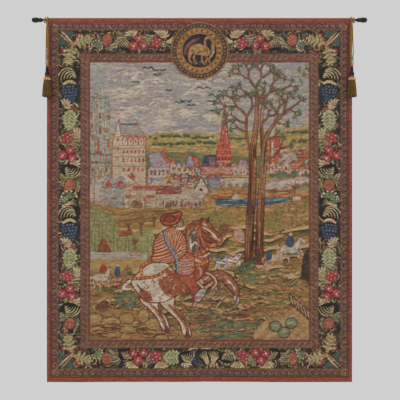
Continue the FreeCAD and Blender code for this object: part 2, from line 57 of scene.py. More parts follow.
# ============================================================ camera, floor and light
VIEW_WIDTH = 1.7584  # metres across the view at the cloth
LENS, SENSOR = 100.0, 36.0
camera_data = bpy.data.cameras.new("camera")
camera_data.lens = LENS
camera_data.sensor_width = SENSOR
camera = bpy.data.objects.new("camera", camera_data)
bpy.context.collection.objects.link(camera)
camera.location = (0.0022, -VIEW_WIDTH * LENS / SENSOR, -0.791)
camera.rotation_euler = (math.pi / 2, 0, 0)
bpy.context.scene.camera = camera


def linear(hex_colour, alpha=1.0):
    """An sRGB hex value such as "8f4a38" as linear red, green, blue and alpha."""
    parts = [int(hex_colour[i:i + 2], 16) / 255 for i in (0, 2, 4)]
    return tuple(p / 12.92 if p <= 0.04045 else ((p + 0.055) / 1.055) ** 2.4 for p in parts) + (alpha,)


def node(tree, kind, inputs=None, **settings):
    """Adds a node with its settings, its input values and the links into it."""
    made = tree.nodes.new(kind)
    for key, value in settings.items():
        setattr(made, key, value)
    for key, value in (inputs or {}).items():
        if isinstance(value, bpy.types.NodeSocket):
            tree.links.new(value, made.inputs[key])
        else:
            made.inputs[key].default_value = value
    return made


def material(name, **shader):
    """A new material, its node tree and its Principled shader with these socket values."""
    made = bpy.data.materials.new(name)
    made.use_nodes = True
    principled = made.node_tree.nodes["Principled BSDF"]
    for key, value in shader.items():
        principled.inputs[key.replace("_", " ")].default_value = value
    return made, made.node_tree, principled


def studio():
    """A plain pale floor below the hanging, an even white surround and two large soft lamps."""
    bpy.ops.mesh.primitive_plane_add(size=3.0, location=(0, -0.35, -1.95))
    floor = bpy.context.object
    floor.name = "floor"
    pale, _, _ = material("pale_floor", Base_Color=linear("e9e8e6"), Roughness=0.9)
    floor.data.materials.append(pale)
    world = bpy.data.worlds.new("surround")
    world.use_nodes = True
    world.node_tree.nodes["Background"].inputs["Color"].default_value = (1, 1, 1, 1)
    world.node_tree.nodes["Background"].inputs["Strength"].default_value = 1.4
    bpy.context.scene.world = world
    for name, place, size, power in (
        ("key", (-1.9, -3.4, 1.3), 1.2, 26),
        ("fill", (2.4, -3.0, 0.0), 2.2, 5),
    ):
        lamp = bpy.data.lights.new(name, "AREA")
        lamp.size, lamp.energy = size, power
        lamp_object = bpy.data.objects.new(name, lamp)
        bpy.context.collection.objects.link(lamp_object)
        lamp_object.location = place
        aim = Vector((0, 0, -0.75)) - Vector(place)
        lamp_object.rotation_euler = aim.to_track_quat("-Z", "Y").to_euler()
    bpy.context.view_layer.objects.active = None
    floor.select_set(False)


studio()


# ============================================================ making meshes
def new_piece(name, vertices, faces, finish, smooth=True):
    """A mesh piece at the origin with one material."""
    mesh = bpy.data.meshes.new(name)
    mesh.from_pydata([tuple(v) for v in vertices], [], [tuple(f) for f in faces])
    mesh.polygons.foreach_set("use_smooth", np.full(len(mesh.polygons), smooth))
    mesh.update()
    piece = bpy.data.objects.new(name, mesh)
    bpy.context.collection.objects.link(piece)
    mesh.materials.append(finish)
    return piece


def grid_faces(rows, cols, closed_across=False):
    """The quads of a grid of rows by cols points, as an array of indices."""
    across = cols if closed_across else cols - 1
    r, c = np.meshgrid(np.arange(rows - 1), np.arange(across), indexing="ij")
    here, beside = r * cols + c, r * cols + (c + 1) % cols
    return np.stack([here, beside, beside + cols, here + cols], -1).reshape(-1, 4)


def finish_mesh(piece, merge=None):
    """Selects one piece alone, merges doubled points if asked and turns its faces outwards."""
    bpy.ops.object.select_all(action="DESELECT")
    piece.select_set(True)
    bpy.context.view_layer.objects.active = piece
    bpy.ops.object.mode_set(mode="EDIT")
    bpy.ops.mesh.select_all(action="SELECT")
    if merge:
        bpy.ops.mesh.remove_doubles(threshold=merge)
    bpy.ops.mesh.normals_make_consistent(inside=False)
    bpy.ops.object.mode_set(mode="OBJECT")
    piece.select_set(False)
    return piece


def travelling_frames(path):
    """Two directions square to the path at each of its points, with no needless twist."""
    path = np.asarray(path, float)
    ahead = np.gradient(path, axis=0)
    ahead /= np.linalg.norm(ahead, axis=1)[:, None]
    start = np.cross(ahead[0], (0.0, 0.0, 1.0) if abs(ahead[0][2]) < 0.9 else (1.0, 0.0, 0.0))
    first = [start / np.linalg.norm(start)]
    for way in ahead[1:]:
        side = first[-1] - way * first[-1].dot(way)
        first.append(side / np.linalg.norm(side))
    first = np.array(first)
    return first, np.cross(ahead, first)


def tube_rings(path, radii, sides, closed_ends=True):
    """The points and faces of a round tube along path."""
    first, second = travelling_frames(path)
    turn = np.linspace(0, 2 * math.pi, sides, endpoint=False)
    radii = np.broadcast_to(radii, len(path))[:, None, None]
    ring = first[:, None] * np.cos(turn)[None, :, None] + second[:, None] * np.sin(turn)[None, :, None]
    points = (np.asarray(path)[:, None] + ring * radii).reshape(-1, 3)
    faces = [tuple(f) for f in grid_faces(len(path), sides, closed_across=True)]
    if closed_ends:
        last = (len(path) - 1) * sides
        faces += [tuple(range(sides))[::-1], tuple(range(last, last + sides))]
    return points, faces


def gathered(parts):
    """Joins lists of (points, faces) into one."""
    points, faces, count = [], [], 0
    for part_points, part_faces in parts:
        points.append(np.asarray(part_points))
        faces += [tuple(i + count for i in face) for face in part_faces]
        count += len(part_points)
    return np.concatenate(points), faces


# ============================================================ materials
WEAVE_RIB = 1.6 * MM  # one rib of the weave: real ones are half this, which would not show


def woven_surface(tree, shader, colour, rib, depth):
    """Ribs along the weft crossed by warp threads: they raise the surface. From the same heights the colour is
    darkened in the hollows between the threads as painted shade and lightened on the crests as painted light.
    """
    place = node(tree, "ShaderNodeTexCoord").outputs["Object"]
    heights = []
    for direction, share in (("X", 1.0), ("Z", 1.55)):
        threads = node(
            tree, "ShaderNodeTexWave",
            {"Vector": place, "Scale": 0.314 / (rib * share), "Distortion": 1.1,
             "Detail": 1.0, "Detail Scale": 0.8},
            wave_type="BANDS", bands_direction=direction, wave_profile="SIN",
        )
        heights.append(threads.outputs["Fac"])
    crossed = node(tree, "ShaderNodeMath", {0: heights[0], 1: heights[1]}, operation="MULTIPLY")
    slubs = node(
        tree, "ShaderNodeTexNoise", {"Vector": place, "Scale": 1 / (9 * MM), "Detail": 3.0}
    ).outputs["Fac"]
    # Painted shade and light from the rib heights: darker where the threads dip between ribs, lighter on the ribs'
    # crests.
    shade = node(
        tree, "ShaderNodeMapRange",
        {"Value": crossed.outputs[0], "From Min": 0.0, "From Max": 1.0, "To Min": 0.80, "To Max": 1.12},
    ).outputs["Result"]
    uneven = node(
        tree, "ShaderNodeMapRange",
        {"Value": slubs, "From Min": 0.3, "From Max": 0.7, "To Min": 0.90, "To Max": 1.08},
    ).outputs["Result"]
    # The ribs' painted shade and light, times the slubs' own uneven tone.
    painted_shade_and_slubs = node(tree, "ShaderNodeMath", {0: shade, 1: uneven}, operation="MULTIPLY").outputs[0]
    toned = node(
        tree, "ShaderNodeVectorMath", {0: colour, "Scale": painted_shade_and_slubs}, operation="SCALE"
    ).outputs["Vector"]
    tree.links.new(toned, shader.inputs["Base Color"])
    raised = node(
        tree, "ShaderNodeBump",
        {"Height": crossed.outputs[0], "Strength": 0.55, "Distance": depth},
    ).outputs["Normal"]
    tree.links.new(raised, shader.inputs["Normal"])


def picture_weave():
    """Jacquard-woven wool and cotton: matt, with a faint fuzz, each thread a little off its tone."""
    made, tree, shader = material(
        "jacquard_wool", Roughness=0.92, Specular_IOR_Level=0.15, Sheen_Weight=0.12,
        Sheen_Roughness=0.6,
    )
    colour = node(tree, "ShaderNodeAttribute", attribute_name="yarn").outputs["Color"]
    woven_surface(tree, shader, colour, WEAVE_RIB, 0.35 * MM)
    return made


def plain_weave(name, hex_colour, rib, depth):
    """One-coloured woven cloth."""
    made, tree, shader = material(
        name, Roughness=0.93, Specular_IOR_Level=0.15, Sheen_Weight=0.10, Sheen_Roughness=0.6
    )
    colour = node(tree, "ShaderNodeRGB")
    colour.outputs[0].default_value = linear(hex_colour)
    woven_surface(tree, shader, colour.outputs[0], rib, depth)
    return made


def rayon(name, dark, light, grain):
    """Spun rayon yarn: a silky sheen along the fibre and tones that change from thread to thread."""
    made, tree, shader = material(
        name, Roughness=0.5, Specular_IOR_Level=0.25, Sheen_Weight=0.08, Sheen_Roughness=0.35
    )
    place = node(tree, "ShaderNodeTexCoord").outputs["Object"]
    fibres = node(
        tree, "ShaderNodeTexNoise",
        {"Vector": place, "Scale": 1 / grain, "Detail": 4.0, "Roughness": 0.65},
    ).outputs["Fac"]
    tones = node(tree, "ShaderNodeValToRGB", {"Fac": fibres})
    tones.color_ramp.elements[0].position = 0.36
    tones.color_ramp.elements[0].color = linear(dark)
    tones.color_ramp.elements[1].position = 0.66
    tones.color_ramp.elements[1].color = linear(light)
    tree.links.new(tones.outputs["Color"], shader.inputs["Base Color"])
    raised = node(
        tree, "ShaderNodeBump", {"Height": fibres, "Strength": 0.35, "Distance": 0.25 * MM}
    ).outputs["Normal"]
    tree.links.new(raised, shader.inputs["Normal"])
    return made


def lacquer():
    """Turned wood under gloss black lacquer: nearly black, with a clear coat and faint turning rings."""
    made, tree, shader = material(
        "black_lacquered_wood", Base_Color=linear("020205"), Roughness=0.3, Specular_IOR_Level=0.2,
        Coat_Weight=0.15, Coat_Roughness=0.08,
    )
    place = node(tree, "ShaderNodeTexCoord").outputs["Object"]
    rings = node(
        tree, "ShaderNodeTexWave", {"Vector": place, "Scale": 0.314 / (0.9 * MM), "Distortion": 0.4},
        wave_type="BANDS", bands_direction="Z",
    ).outputs["Fac"]
    raised = node(
        tree, "ShaderNodeBump", {"Height": rings, "Strength": 0.12, "Distance": 0.05 * MM}
    ).outputs["Normal"]
    tree.links.new(raised, shader.inputs["Normal"])
    return made


def black_iron():
    """Cast iron under satin black paint: slightly pitted, browner and duller where it is handled."""
    made, tree, shader = material("satin_black_iron", Roughness=0.5, Specular_IOR_Level=0.3)
    place = node(tree, "ShaderNodeTexCoord").outputs["Object"]
    cloud = node(
        tree, "ShaderNodeTexNoise", {"Vector": place, "Scale": 1 / (14 * MM), "Detail": 5.0}
    ).outputs["Fac"]
    paint = node(tree, "ShaderNodeValToRGB", {"Fac": cloud})
    paint.color_ramp.elements[0].position = 0.35
    paint.color_ramp.elements[0].color = linear("050606")
    paint.color_ramp.elements[1].position = 0.75
    paint.color_ramp.elements[1].color = linear("120f0c")
    tree.links.new(paint.outputs["Color"], shader.inputs["Base Color"])
    pits = node(
        tree, "ShaderNodeTexNoise", {"Vector": place, "Scale": 1 / (1.1 * MM), "Detail": 3.0}
    ).outputs["Fac"]
    raised = node(
        tree, "ShaderNodeBump", {"Height": pits, "Strength": 0.3, "Distance": 0.12 * MM}
    ).outputs["Normal"]
    tree.links.new(raised, shader.inputs["Normal"])
    dull = node(
        tree, "ShaderNodeMapRange",
        {"Value": cloud, "From Min": 0.3, "From Max": 0.8, "To Min": 0.40, "To Max": 0.60},
    ).outputs["Result"]
    tree.links.new(dull, shader.inputs["Roughness"])
    return made


def bare(name, dark, light, grain, roughness, metallic=0.0):
    """A plain inner part: machined steel or bare turned wood, with its grain along Z."""
    made, tree, shader = material(name, Roughness=roughness, Metallic=metallic)
    place = node(tree, "ShaderNodeTexCoord").outputs["Object"]
    long = node(tree, "ShaderNodeMapping", {"Vector": place, "Scale": (1, 1, 0.12)}).outputs["Vector"]
    lines = node(
        tree, "ShaderNodeTexNoise", {"Vector": long, "Scale": 1 / grain, "Detail": 4.0}
    ).outputs["Fac"]
    tones = node(tree, "ShaderNodeValToRGB", {"Fac": lines})
    tones.color_ramp.elements[0].color = linear(dark)
    tones.color_ramp.elements[1].color = linear(light)
    tree.links.new(tones.outputs["Color"], shader.inputs["Base Color"])
    return made


PICTURE = picture_weave()
BORDER_WEAVE = plain_weave("terracotta_wool", "783d2e", WEAVE_RIB, 0.35 * MM)
LINING_WEAVE = plain_weave("ecru_cotton_lining", "cdbf9f", 1.1 * MM, 0.2 * MM)
THREAD = rayon("sewing_thread", "7d6a4c", "b09c78", 0.8 * MM)
GOLD_CORD = rayon("gold_rayon_cord", "4f3b14", "927334", 1.2 * MM)
GOLD_GIMP = rayon("gold_rayon_gimp", "9a6c40", "e0b184", 1.2 * MM)
SKIRT_YARN = rayon("olive_gold_fringe", "33240a", "6b4f1a", 1.6 * MM)
LACQUER = lacquer()
IRON = black_iron()
STEEL = bare("machined_steel", "8d9093", "a9abad", 0.6 * MM, 0.34, 1.0)
WOOD = bare("bare_beech", "b08d62", "c9a878", 1.5 * MM, 0.7)


# ============================================================ the cartoon that the picture is woven from
CELL = 1.25  # mm, one square of the cartoon
WIDE, HIGH = 1340.0, 1600.0  # mm, the cloth as it is seen
FIELD_LEFT, FIELD_TOP, FIELD_RIGHT = 190.0, 197.0, 1150.0
UNIT = (FIELD_RIGHT - FIELD_LEFT) / 100  # mm, the picture is drawn in hundredths of its width

COLS, ROWS = round(WIDE / CELL), round(HIGH / CELL)
cartoon = np.zeros((ROWS, COLS, 3), np.float32)


def noise(step_x, step_y, seed, octaves=3):
    """Smooth random tones from 0 to 1 over the cartoon, evenly spread, with grains of step_x by
    step_y mm."""
    source = np.random.default_rng(seed)
    total = np.zeros((ROWS, COLS))
    for octave in range(octaves):
        fine = 2.0 ** octave
        tall = int(HIGH / step_y * fine) + 3
        wide = int(WIDE / step_x * fine) + 3
        knots = source.random((tall, wide))
        y = np.linspace(0, tall - 2.001, ROWS)
        x = np.linspace(0, wide - 2.001, COLS)
        row, col = y.astype(int), x.astype(int)
        down, over = y - row, x - col
        down = (down * down * (3 - 2 * down))[:, None]
        over = (over * over * (3 - 2 * over))[None, :]
        upper = knots[row][:, col] * (1 - over) + knots[row][:, col + 1] * over
        lower = knots[row + 1][:, col] * (1 - over) + knots[row + 1][:, col + 1] * over
        total += (upper * (1 - down) + lower * down) / fine
    order = np.empty(total.size)
    order[np.argsort(total, axis=None)] = np.linspace(0, 0.9999, total.size)
    return order.reshape(total.shape)


HATCH = noise(26, 5.5, 1)  # short strokes along the weft
STREAK = noise(150, 13, 2, 4)  # long drifting streaks
MOTTLE = noise(70, 42, 3)
UPRIGHT = noise(6, 34, 4)


def srgb(hex_colour):
    return [int(hex_colour[i:i + 2], 16) / 255 for i in (0, 2, 4)]


def paint(window, mask, colours, field=HATCH):
    """Colours the masked squares. Several colours are shared out by the field's tones."""
    tones = np.array([srgb(c) for c in colours.split()], np.float32)
    pick = (field[window][mask] * len(tones)).astype(int)
    cartoon[window][mask] = tones[pick]


def window_of(low, high):
    """The part of the cartoon between two corners in mm, or None off its edge."""
    left, top = max(int(low[0] / CELL), 0), max(int(low[1] / CELL), 0)
    right, foot = min(int(high[0] / CELL) + 2, COLS), min(int(high[1] / CELL) + 2, ROWS)
    if right <= left or foot <= top:
        return None
    return slice(top, foot), slice(left, right)


def centres(window):
    """The x and y, in mm, of a window's squares."""
    xs = (np.arange(window[1].start, window[1].stop) + 0.5) * CELL
    ys = (np.arange(window[0].start, window[0].stop) + 0.5) * CELL
    return xs, ys


def fill(points, colours, field=HATCH):
    """Fills a closed outline, given in mm."""
    points = np.asarray(points, float)
    window = window_of(points.min(0), points.max(0))
    if window is None:
        return
    xs, ys = centres(window)
    mask = np.zeros((len(ys), len(xs)), bool)
    for (x0, y0), (x1, y1) in zip(points, np.roll(points, -1, 0)):
        if y0 == y1:
            continue
        level = (ys >= min(y0, y1)) & (ys < max(y0, y1))
        crossing = x0 + (ys[level] - y0) * (x1 - x0) / (y1 - y0)
        mask[level] ^= xs[None, :] < crossing[:, None]
    paint(window, mask, colours, field)


def smooth(points, closed=False, steps=6):
    """A soft curve through the points."""
    p = np.asarray(points, float)
    if closed:
        p = np.concatenate([p[-1:], p, p[:2]])
    else:
        p = np.concatenate([2 * p[:1] - p[1:2], p, 2 * p[-1:] - p[-2:-1]])
    t = np.linspace(0, 1, steps, endpoint=False)[:, None]
    spans = []
    for a, b, c, d in zip(p, p[1:], p[2:], p[3:]):
        spans.append(0.5 * (2 * b + (c - a) * t + (2 * a - 5 * b + 4 * c - d) * t**2
                            + (3 * b - a - 3 * c + d) * t**3))
    if not closed:
        spans.append(p[-2:-1])
    return np.concatenate(spans)


def stroke(points, width, colours, taper=0.25, field=HATCH, soft=True):
    """A brush stroke along a curve, its width in mm, narrowing to taper times that at its ends."""
    path = smooth(points) if soft and len(points) > 2 else np.asarray(points, float)
    steps = np.linalg.norm(np.diff(path, axis=0), axis=1)
    along = np.concatenate([[0], np.cumsum(steps)])
    if along[-1] == 0:
        return
    count = max(int(along[-1] / max(width * 0.3, 0.8)), 3)
    where = np.linspace(0, along[-1], count)
    dots = np.stack([np.interp(where, along, path[:, i]) for i in (0, 1)], -1)
    radii = width / 2 * (taper + (1 - taper) * np.maximum(np.sin(np.pi * where / along[-1]), 0) ** 0.6)
    for begin in range(0, count, 12):
        near, size = dots[begin:begin + 13], radii[begin:begin + 13]
        window = window_of(near.min(0) - width, near.max(0) + width)
        if window is None:
            continue
        xs, ys = centres(window)
        gap = (xs[None, :, None] - near[:, 0]) ** 2 + (ys[:, None, None] - near[:, 1]) ** 2
        paint(window, (gap < size**2).any(-1), colours, field)


def disc(x, y, wide, colours, high=None, turn=0.0, field=HATCH):
    """An ellipse of these half widths, in mm."""
    angle = np.linspace(0, 2 * math.pi, 22, endpoint=False)
    points = np.stack([np.cos(angle) * wide, np.sin(angle) * (high or wide)], -1)
    fill(placed(points, x, y, turn), colours, field)


def placed(points, x, y, turn=0.0, size=1.0, flip=1):
    """Points of a motif, mirrored, scaled, turned by degrees and moved to (x, y)."""
    points = np.asarray(points, float) * (size * flip, size)
    c, s = math.cos(math.radians(turn)), math.sin(math.radians(turn))
    return np.stack([points[:, 0] * c - points[:, 1] * s + x, points[:, 0] * s + points[:, 1] * c + y], -1)


def edged(draw, path, outer, inner, taper):
    """A stroke with a narrower one over it, each given as width and colours."""
    draw(path, *outer, taper)
    draw(path, *inner, taper)


def strew(spot, count, left, right, top, foot):
    """Random places in a box, drawn one at a time."""
    for _ in range(count):
        yield spot.uniform(left, right), spot.uniform(top, foot)


# ------------------------------------------------------------ border motifs, about 90 mm across at size 1
CREAM, TAN, MOSS, PINE, NIGHT = "cdb888 bd9f6c", "aa8650 9a7644", "6f8558 5c7650", "2f4b3a 273f34", "151d20 101619"
WINE, RED, PINK, INK = "5c1f2a 4c1822", "9c2f3c 862634", "cf9488 c07a70", "0d1213"


class Pen:
    """Draws a motif's strokes and shapes at one place, turn, size and hand."""

    def __init__(self, x, y, turn=0, size=1, flip=1):
        self.place = dict(x=x, y=y, turn=turn, size=size, flip=flip)
        self.size = size

    def line(self, points, width, colours, taper=0.25):
        stroke(placed(points, **self.place), width * self.size, colours, taper)

    def shape(self, points, colours, edge=None, width=2.4):
        outline = smooth(placed(points, **self.place), closed=True)
        fill(outline, colours)
        if edge:
            stroke(np.concatenate([outline, outline[:1]]), width * self.size, edge, 1, soft=False)

    def dot(self, x, y, radius, colours, high=None):
        (px, py), = placed([(x, y)], **self.place)
        turn = self.place["turn"] * self.place["flip"]
        disc(px, py, radius * self.size, colours, (high or radius) * self.size, turn)


def lobed(length, width, lobes, depth):
    """The outline of a lobed leaf from its stalk at the foot to its tip."""
    t = np.linspace(0.02, 0.98, lobes * 6)
    half = width * np.sin(np.pi * t**0.85) ** 0.75 * (1 - depth + depth * np.cos(2 * np.pi * lobes * t))
    y = length * (0.5 - t)
    return np.concatenate([np.stack([half, y], -1), np.stack([-half, y], -1)[::-1]])


def oak_leaf(pen):
    pen.shape(lobed(92, 35, 4, 0.30), TAN + " bd9f6c", INK)
    pen.shape(lobed(74, 21, 4, 0.30), MOSS + " 87935c")
    pen.line([(0, 44), (2, 10), (0, -36)], 4, TAN)
    for i in range(4):
        level = 28 - 17 * i
        for way in (-1, 1):
            pen.line([(0, level), (10 * way, level - 7), (24 * way, level - 10)], 2.8, "cdbb86", 0.1)
            pen.line([(3 * way, level - 9), (11 * way, level - 14), (19 * way, level - 16)], 2.6, PINE, 0.1)


def cabbage_leaf(pen):
    pen.shape(lobed(96, 38, 6, 0.13), "a8ac74 98a068", INK)
    pen.shape(lobed(76, 28, 5, 0.18), MOSS + " 7f8f5c")
    for i in range(5):
        level = 30 - 15 * i
        for way in (-1, 1):
            pen.line([(0, level + 6), (12 * way, level - 2), (22 * way, level - 12)], 3, "c4bd86", 0.15)
            pen.line([(4 * way, level), (13 * way, level - 8), (18 * way, level - 18)], 2.4, PINE, 0.15)
    pen.line([(0, 44), (3, 8), (-2, -38)], 4, CREAM)


def zebra(pen):
    """A leaf curled over, seen as nested stripes."""
    pen.shape([(-44, 22), (-40, -14), (-10, -30), (28, -26), (44, -6), (30, 26), (-6, 34)], INK)
    for i in range(6):
        r = 40 - 6.6 * i
        start = -20 + 8 * i
        arc = [(-8 + i * 5.2 - r * math.cos(a), 20 - r * 1.15 * math.sin(a))
               for a in np.radians(np.linspace(start + 4, 128 + i * 4, 7))]
        pen.line(arc, 4.6, CREAM if i % 2 == 0 else "b9ae80 8f9468", 0.3)


def fan(pen):
    """Long striped blades that spread from a narrow foot."""
    pen.shape([(-12, 34), (-42, -26), (0, -42), (42, -24), (12, 34)], INK)
    for i in range(8):
        out = -38 + 76 * i / 7
        tip = (out, -40 + abs(out) * 0.45)
        pen.line([(out * 0.16, 36), (out * 0.42, 2), tip], 4.4, CREAM if i % 2 else "8f9a66 a9a673", 0.3)


def grapes(pen):
    pen.line([(-22, -36), (-6, -44), (10, -43), (22, -35)], 11, CREAM, 0.6)
    pen.line([(28, -38), (36, -12), (30, 12)], 5, WINE)
    pen.shape([(-36, -24), (0, -36), (36, -22), (36, 10), (20, 36), (-8, 34), (-32, 8)], "10171d 1a2430")
    berries = random.Random(11)
    for level in range(6):
        across = 6 - abs(level - 1.6) * 0.9
        for i in range(int(across)):
            bx = (i - (across - 1) / 2) * 12.4 + berries.uniform(-2, 2) + level * 1.5
            by = -24 + level * 11.5 + berries.uniform(-1.5, 1.5)
            pen.dot(bx, by, 5.6, "2a3d52 223044")
            pen.dot(bx - 1.6, by - 1.8, 1.9, "7c90a4 5c748c")


def berries_red(pen):
    for k, (bx, by) in enumerate(((-16, -8), (-2, -17), (15, -10), (-13, 9), (4, 15), (18, 6), (1, -1))):
        pen.dot(bx, by, 10.4, WINE)
        pen.dot(bx, by, 8.4, RED + " a83c46")
        pen.line([(bx - 4, by - 3), (bx, by - 5), (bx + 4, by - 3)], 2.6, PINK if k % 2 else "e4d2b4", 0.3)
    for way in (-1, 1):
        pen.line([(22 * way, 18), (30 * way, 4), (24 * way, -16)], 5, MOSS, 0.2)


def roses(pen):
    for a in range(0, 360, 45):
        c, d = math.cos(math.radians(a)), math.sin(math.radians(a))
        pen.line([(26 * c, 26 * d), (38 * c + 4, 38 * d), (44 * c, 46 * d + 4)], 8, MOSS + " a7ab76", 0.25)
    for bx, by, wide in ((-22, 15, 21), (23, 12, 19), (2, -18, 20)):
        pen.dot(bx, by, wide + 1.5, WINE)
        pen.dot(bx, by, wide - 1.5, RED + " a83c46", (wide - 1.5) * 0.9)
        for k in range(7):
            a, b = math.radians(51 * k + 20), math.radians(51 * k + 75)
            pen.line([(bx + 8 * math.cos(a), by + 7 * math.sin(a)),
                      (bx + 14 * math.cos((a + b) / 2), by + 13 * math.sin((a + b) / 2)),
                      (bx + 12 * math.cos(b), by + 11 * math.sin(b))], 3, "c4656a" if k % 2 else "6a1f2a",
                      0.3)
        pen.dot(bx + 1, by + 1, 5.5, PINK)
        pen.line([(bx - 2, by + 2), (bx + 3, by - 1)], 3.4, "e6d5b6", 0.4)


def lily(pen):
    """Pointed cream petals spread to one side."""
    for angle in (-78, -50, -22, 8, 38, 66):
        a = math.radians(angle - 90)
        tip = (42 * math.cos(a), 42 * math.sin(a))
        bend = (24 * math.cos(a + 0.25), 24 * math.sin(a + 0.25))
        edged(pen.line, [(0, 8), bend, tip], (15, INK), (11, CREAM + " e3d3a2"), 0.1)
        pen.line([(0, 6), (bend[0] * 0.9, bend[1] * 0.9)], 3, TAN, 0.2)


def curls(pen):
    """A spray of narrow curling blades."""
    for i in range(6):
        reach = 18 + 6.5 * i
        arc = [(-30 + reach * 0.1, 26 - i * 3), (-6 + i * 2, 18 - i * 8.5),
               (22 + i * 2, 16 - i * 9), (34, 28 - i * 8)]
        edged(pen.line, arc, (6.4, INK), (4.2, CREAM if i % 2 == 0 else MOSS), 0.2)


def pomegranate(pen):
    for way in (-1, 1):
        for i in range(3):
            edged(pen.line, [(4 * way, 34 - i * 6), (26 * way, 30 - i * 10), (40 * way, 6 - i * 13)],
                  (7, INK), (4.6, MOSS + " a7ab76"), 0.2)
    pen.dot(0, -4, 27, INK, 31)
    pen.dot(0, -4, 24.5, "8a4a3a 7a4034 985a44", 28.5)
    for i in range(4):
        for j in range(4):
            pen.dot(-14 + i * 9.5 + (j % 2) * 3, -20 + j * 10.5, 2.6, "c08a60 5c2a28")
    pen.line([(-8, -34), (0, -42), (9, -33)], 5, TAN)


def snowdrops(pen):
    """Small white-tipped leaves."""
    for i in range(8):
        a = math.radians(150 + 240 * i / 7)
        tip = (34 * math.cos(a), 26 * math.sin(a))
        edged(pen.line, [(0, 10), (tip[0] * 0.6, tip[1] * 0.8), tip], (8, PINE), (5, MOSS), 0.2)
        pen.dot(tip[0], tip[1], 4, "e6dcc0")


def corner_spray(pen):
    """A long folded leaf from the corner inwards, with a teal field on each side of it."""
    for way in (-1, 1):
        pen.shape([(7 * way, 50), (42 * way, 14), (30 * way, 4), (10 * way, 2)], "1f4642 2a5650")
        pen.line([(9 * way, 50), (14 * way, 20), (12 * way, -20)], 3.4, "7a2c38", 0.4)
    pen.line([(0, 60), (1, 20), (0, -44)], 24, INK, 0.2)
    pen.line([(-5, 56), (-6, 20), (-2, -40)], 8, CREAM, 0.15)
    pen.line([(5, 54), (6, 20), (2, -36)], 8, MOSS + " c4bd86 " + TAN, 0.15)
    pen.line([(0, 54), (0, -34)], 3, "141a1c", 0.2)


# The garland down each side: the motif, how far down, how far in from the band's outer edge, turn,
# size. It repeats after GARLAND_STEP.
GARLAND_START, GARLAND_STEP = 292, 607
GARLAND = [
    (zebra, -42, 48, -4, 1.1), (grapes, 40, 50, -6, 1.15), (lily, 96, 26, 40, 0.8),
    (berries_red, 114, 62, 0, 0.52), (cabbage_leaf, 158, 48, 185, 1), (curls, 206, 60, 150, 0.7),
    (lily, 226, 72, 60, 0.85), (berries_red, 238, 36, 0, 1), (curls, 262, 66, 20, 0.9),
    (roses, 306, 42, 20, 1), (lily, 346, 62, 140, 0.9), (zebra, 384, 48, 190, 0.95),
    (curls, 412, 22, 90, 0.7), (pomegranate, 440, 52, 215, 0.95), (snowdrops, 496, 46, 0, 1),
    (fan, 536, 48, 90, 0.95), (snowdrops, 516, 24, 30, 0.6),
]
# The garland along the top and the foot, from the corner inwards.
RUN = [
    (pomegranate, 262, 46, 20, 0.95), (snowdrops, 222, 64, 40, 0.7), (curls, 312, 50, 0, 1),
    (zebra, 348, 62, 10, 0.8), (roses, 402, 52, 0, 1), (lily, 374, 20, -20, 0.8),
    (curls, 446, 34, 200, 0.8), (berries_red, 480, 54, 0, 1), (lily, 500, 22, 20, 0.9),
]
TOP_END = [(snowdrops, 534, 60, 0, 0.7), (fan, 548, 46, 80, 0.7)]
FOOT_END = [
    (cabbage_leaf, 556, 48, 92, 1), (berries_red, 606, 60, 0, 0.5), (lily, 612, 34, 30, 0.8),
    (grapes, 652, 48, 200, 0.95),
]


def litter(left, top, right, foot, count, seed):
    """Small commas and curled blades that fill a dark ground between its motifs."""
    spot = random.Random(seed)
    inks = [WINE, PINE, MOSS, "7c7a4c", "a8905e", "8c2c38", PINE, WINE, "6b4a34"]
    for x, y in strew(spot, count, left, right, top, foot):
        a, reach = spot.uniform(0, 6.3), spot.uniform(5, 12)
        bend = a + spot.uniform(-1, 1)
        stroke([(x, y), (x + reach * math.cos(a), y + reach * math.sin(a)),
                (x + 1.7 * reach * math.cos(bend), y + 1.7 * reach * math.sin(bend))],
               spot.uniform(2.8, 5), spot.choice(inks))
    for _ in range(count // 4):
        path, a = [(spot.uniform(left + 6, right - 6), spot.uniform(top + 6, foot - 6))], spot.uniform(0, 6.3)
        curl, reach = spot.choice((-1, 1)) * spot.uniform(0.35, 0.85), spot.uniform(7, 12)
        for _ in range(4):
            path.append((path[-1][0] + reach * math.cos(a), path[-1][1] + reach * math.sin(a)))
            a += curl
        stroke(path, 7.6, INK, 0.35)
        stroke(path, spot.uniform(3.6, 5.2),
               spot.choice([CREAM, TAN, "c8b580 a8946a", MOSS, "9a9a68 84875a", TAN]), 0.15)


SCROLL_PITCH, HOOK_PITCH = 29.2, 25  # mm
# Insets of the border's bands from the cloth's side, top and bottom edges, in mm.
BANDS = {
    "line": (15, 22, 21), "guilloche": (20, 26, 26), "flowers": (53, 58, 61),
    "guard": (148, 158, 149), "inner_line": (186, 193, 182), "field": (190, 197, 186),
}


def rectangle(name):
    """The left, top, right and foot of a band's outer edge."""
    side, top, foot = BANDS[name]
    return side, top, WIDE - side, HIGH - foot


def band(outer, inner, colours, field=HATCH):
    """Fills the frame between two nested rectangles."""
    (l0, t0, r0, f0), (l1, t1, r1, f1) = outer, inner
    for left, top, right, foot in (
        (l0, t0, r0, t1), (l0, f1, r0, f0), (l0, t1, l1, f1), (r1, t1, r0, f1),
    ):
        fill([(left, top), (right, top), (right, foot), (left, foot)], colours, field)


def runs(outer, inner):
    """The middle line of each side of a band: start, end and width."""
    (l0, t0, r0, f0), (l1, t1, r1, f1) = outer, inner
    top, foot, left, right = (t0 + t1) / 2, (f0 + f1) / 2, (l0 + l1) / 2, (r0 + r1) / 2
    return [
        ((l0, top), (r0, top), t1 - t0), ((r0, foot), (l0, foot), f0 - f1),
        ((left, f0), (left, t0), l1 - l0), ((right, t0), (right, f0), r0 - r1),
    ]


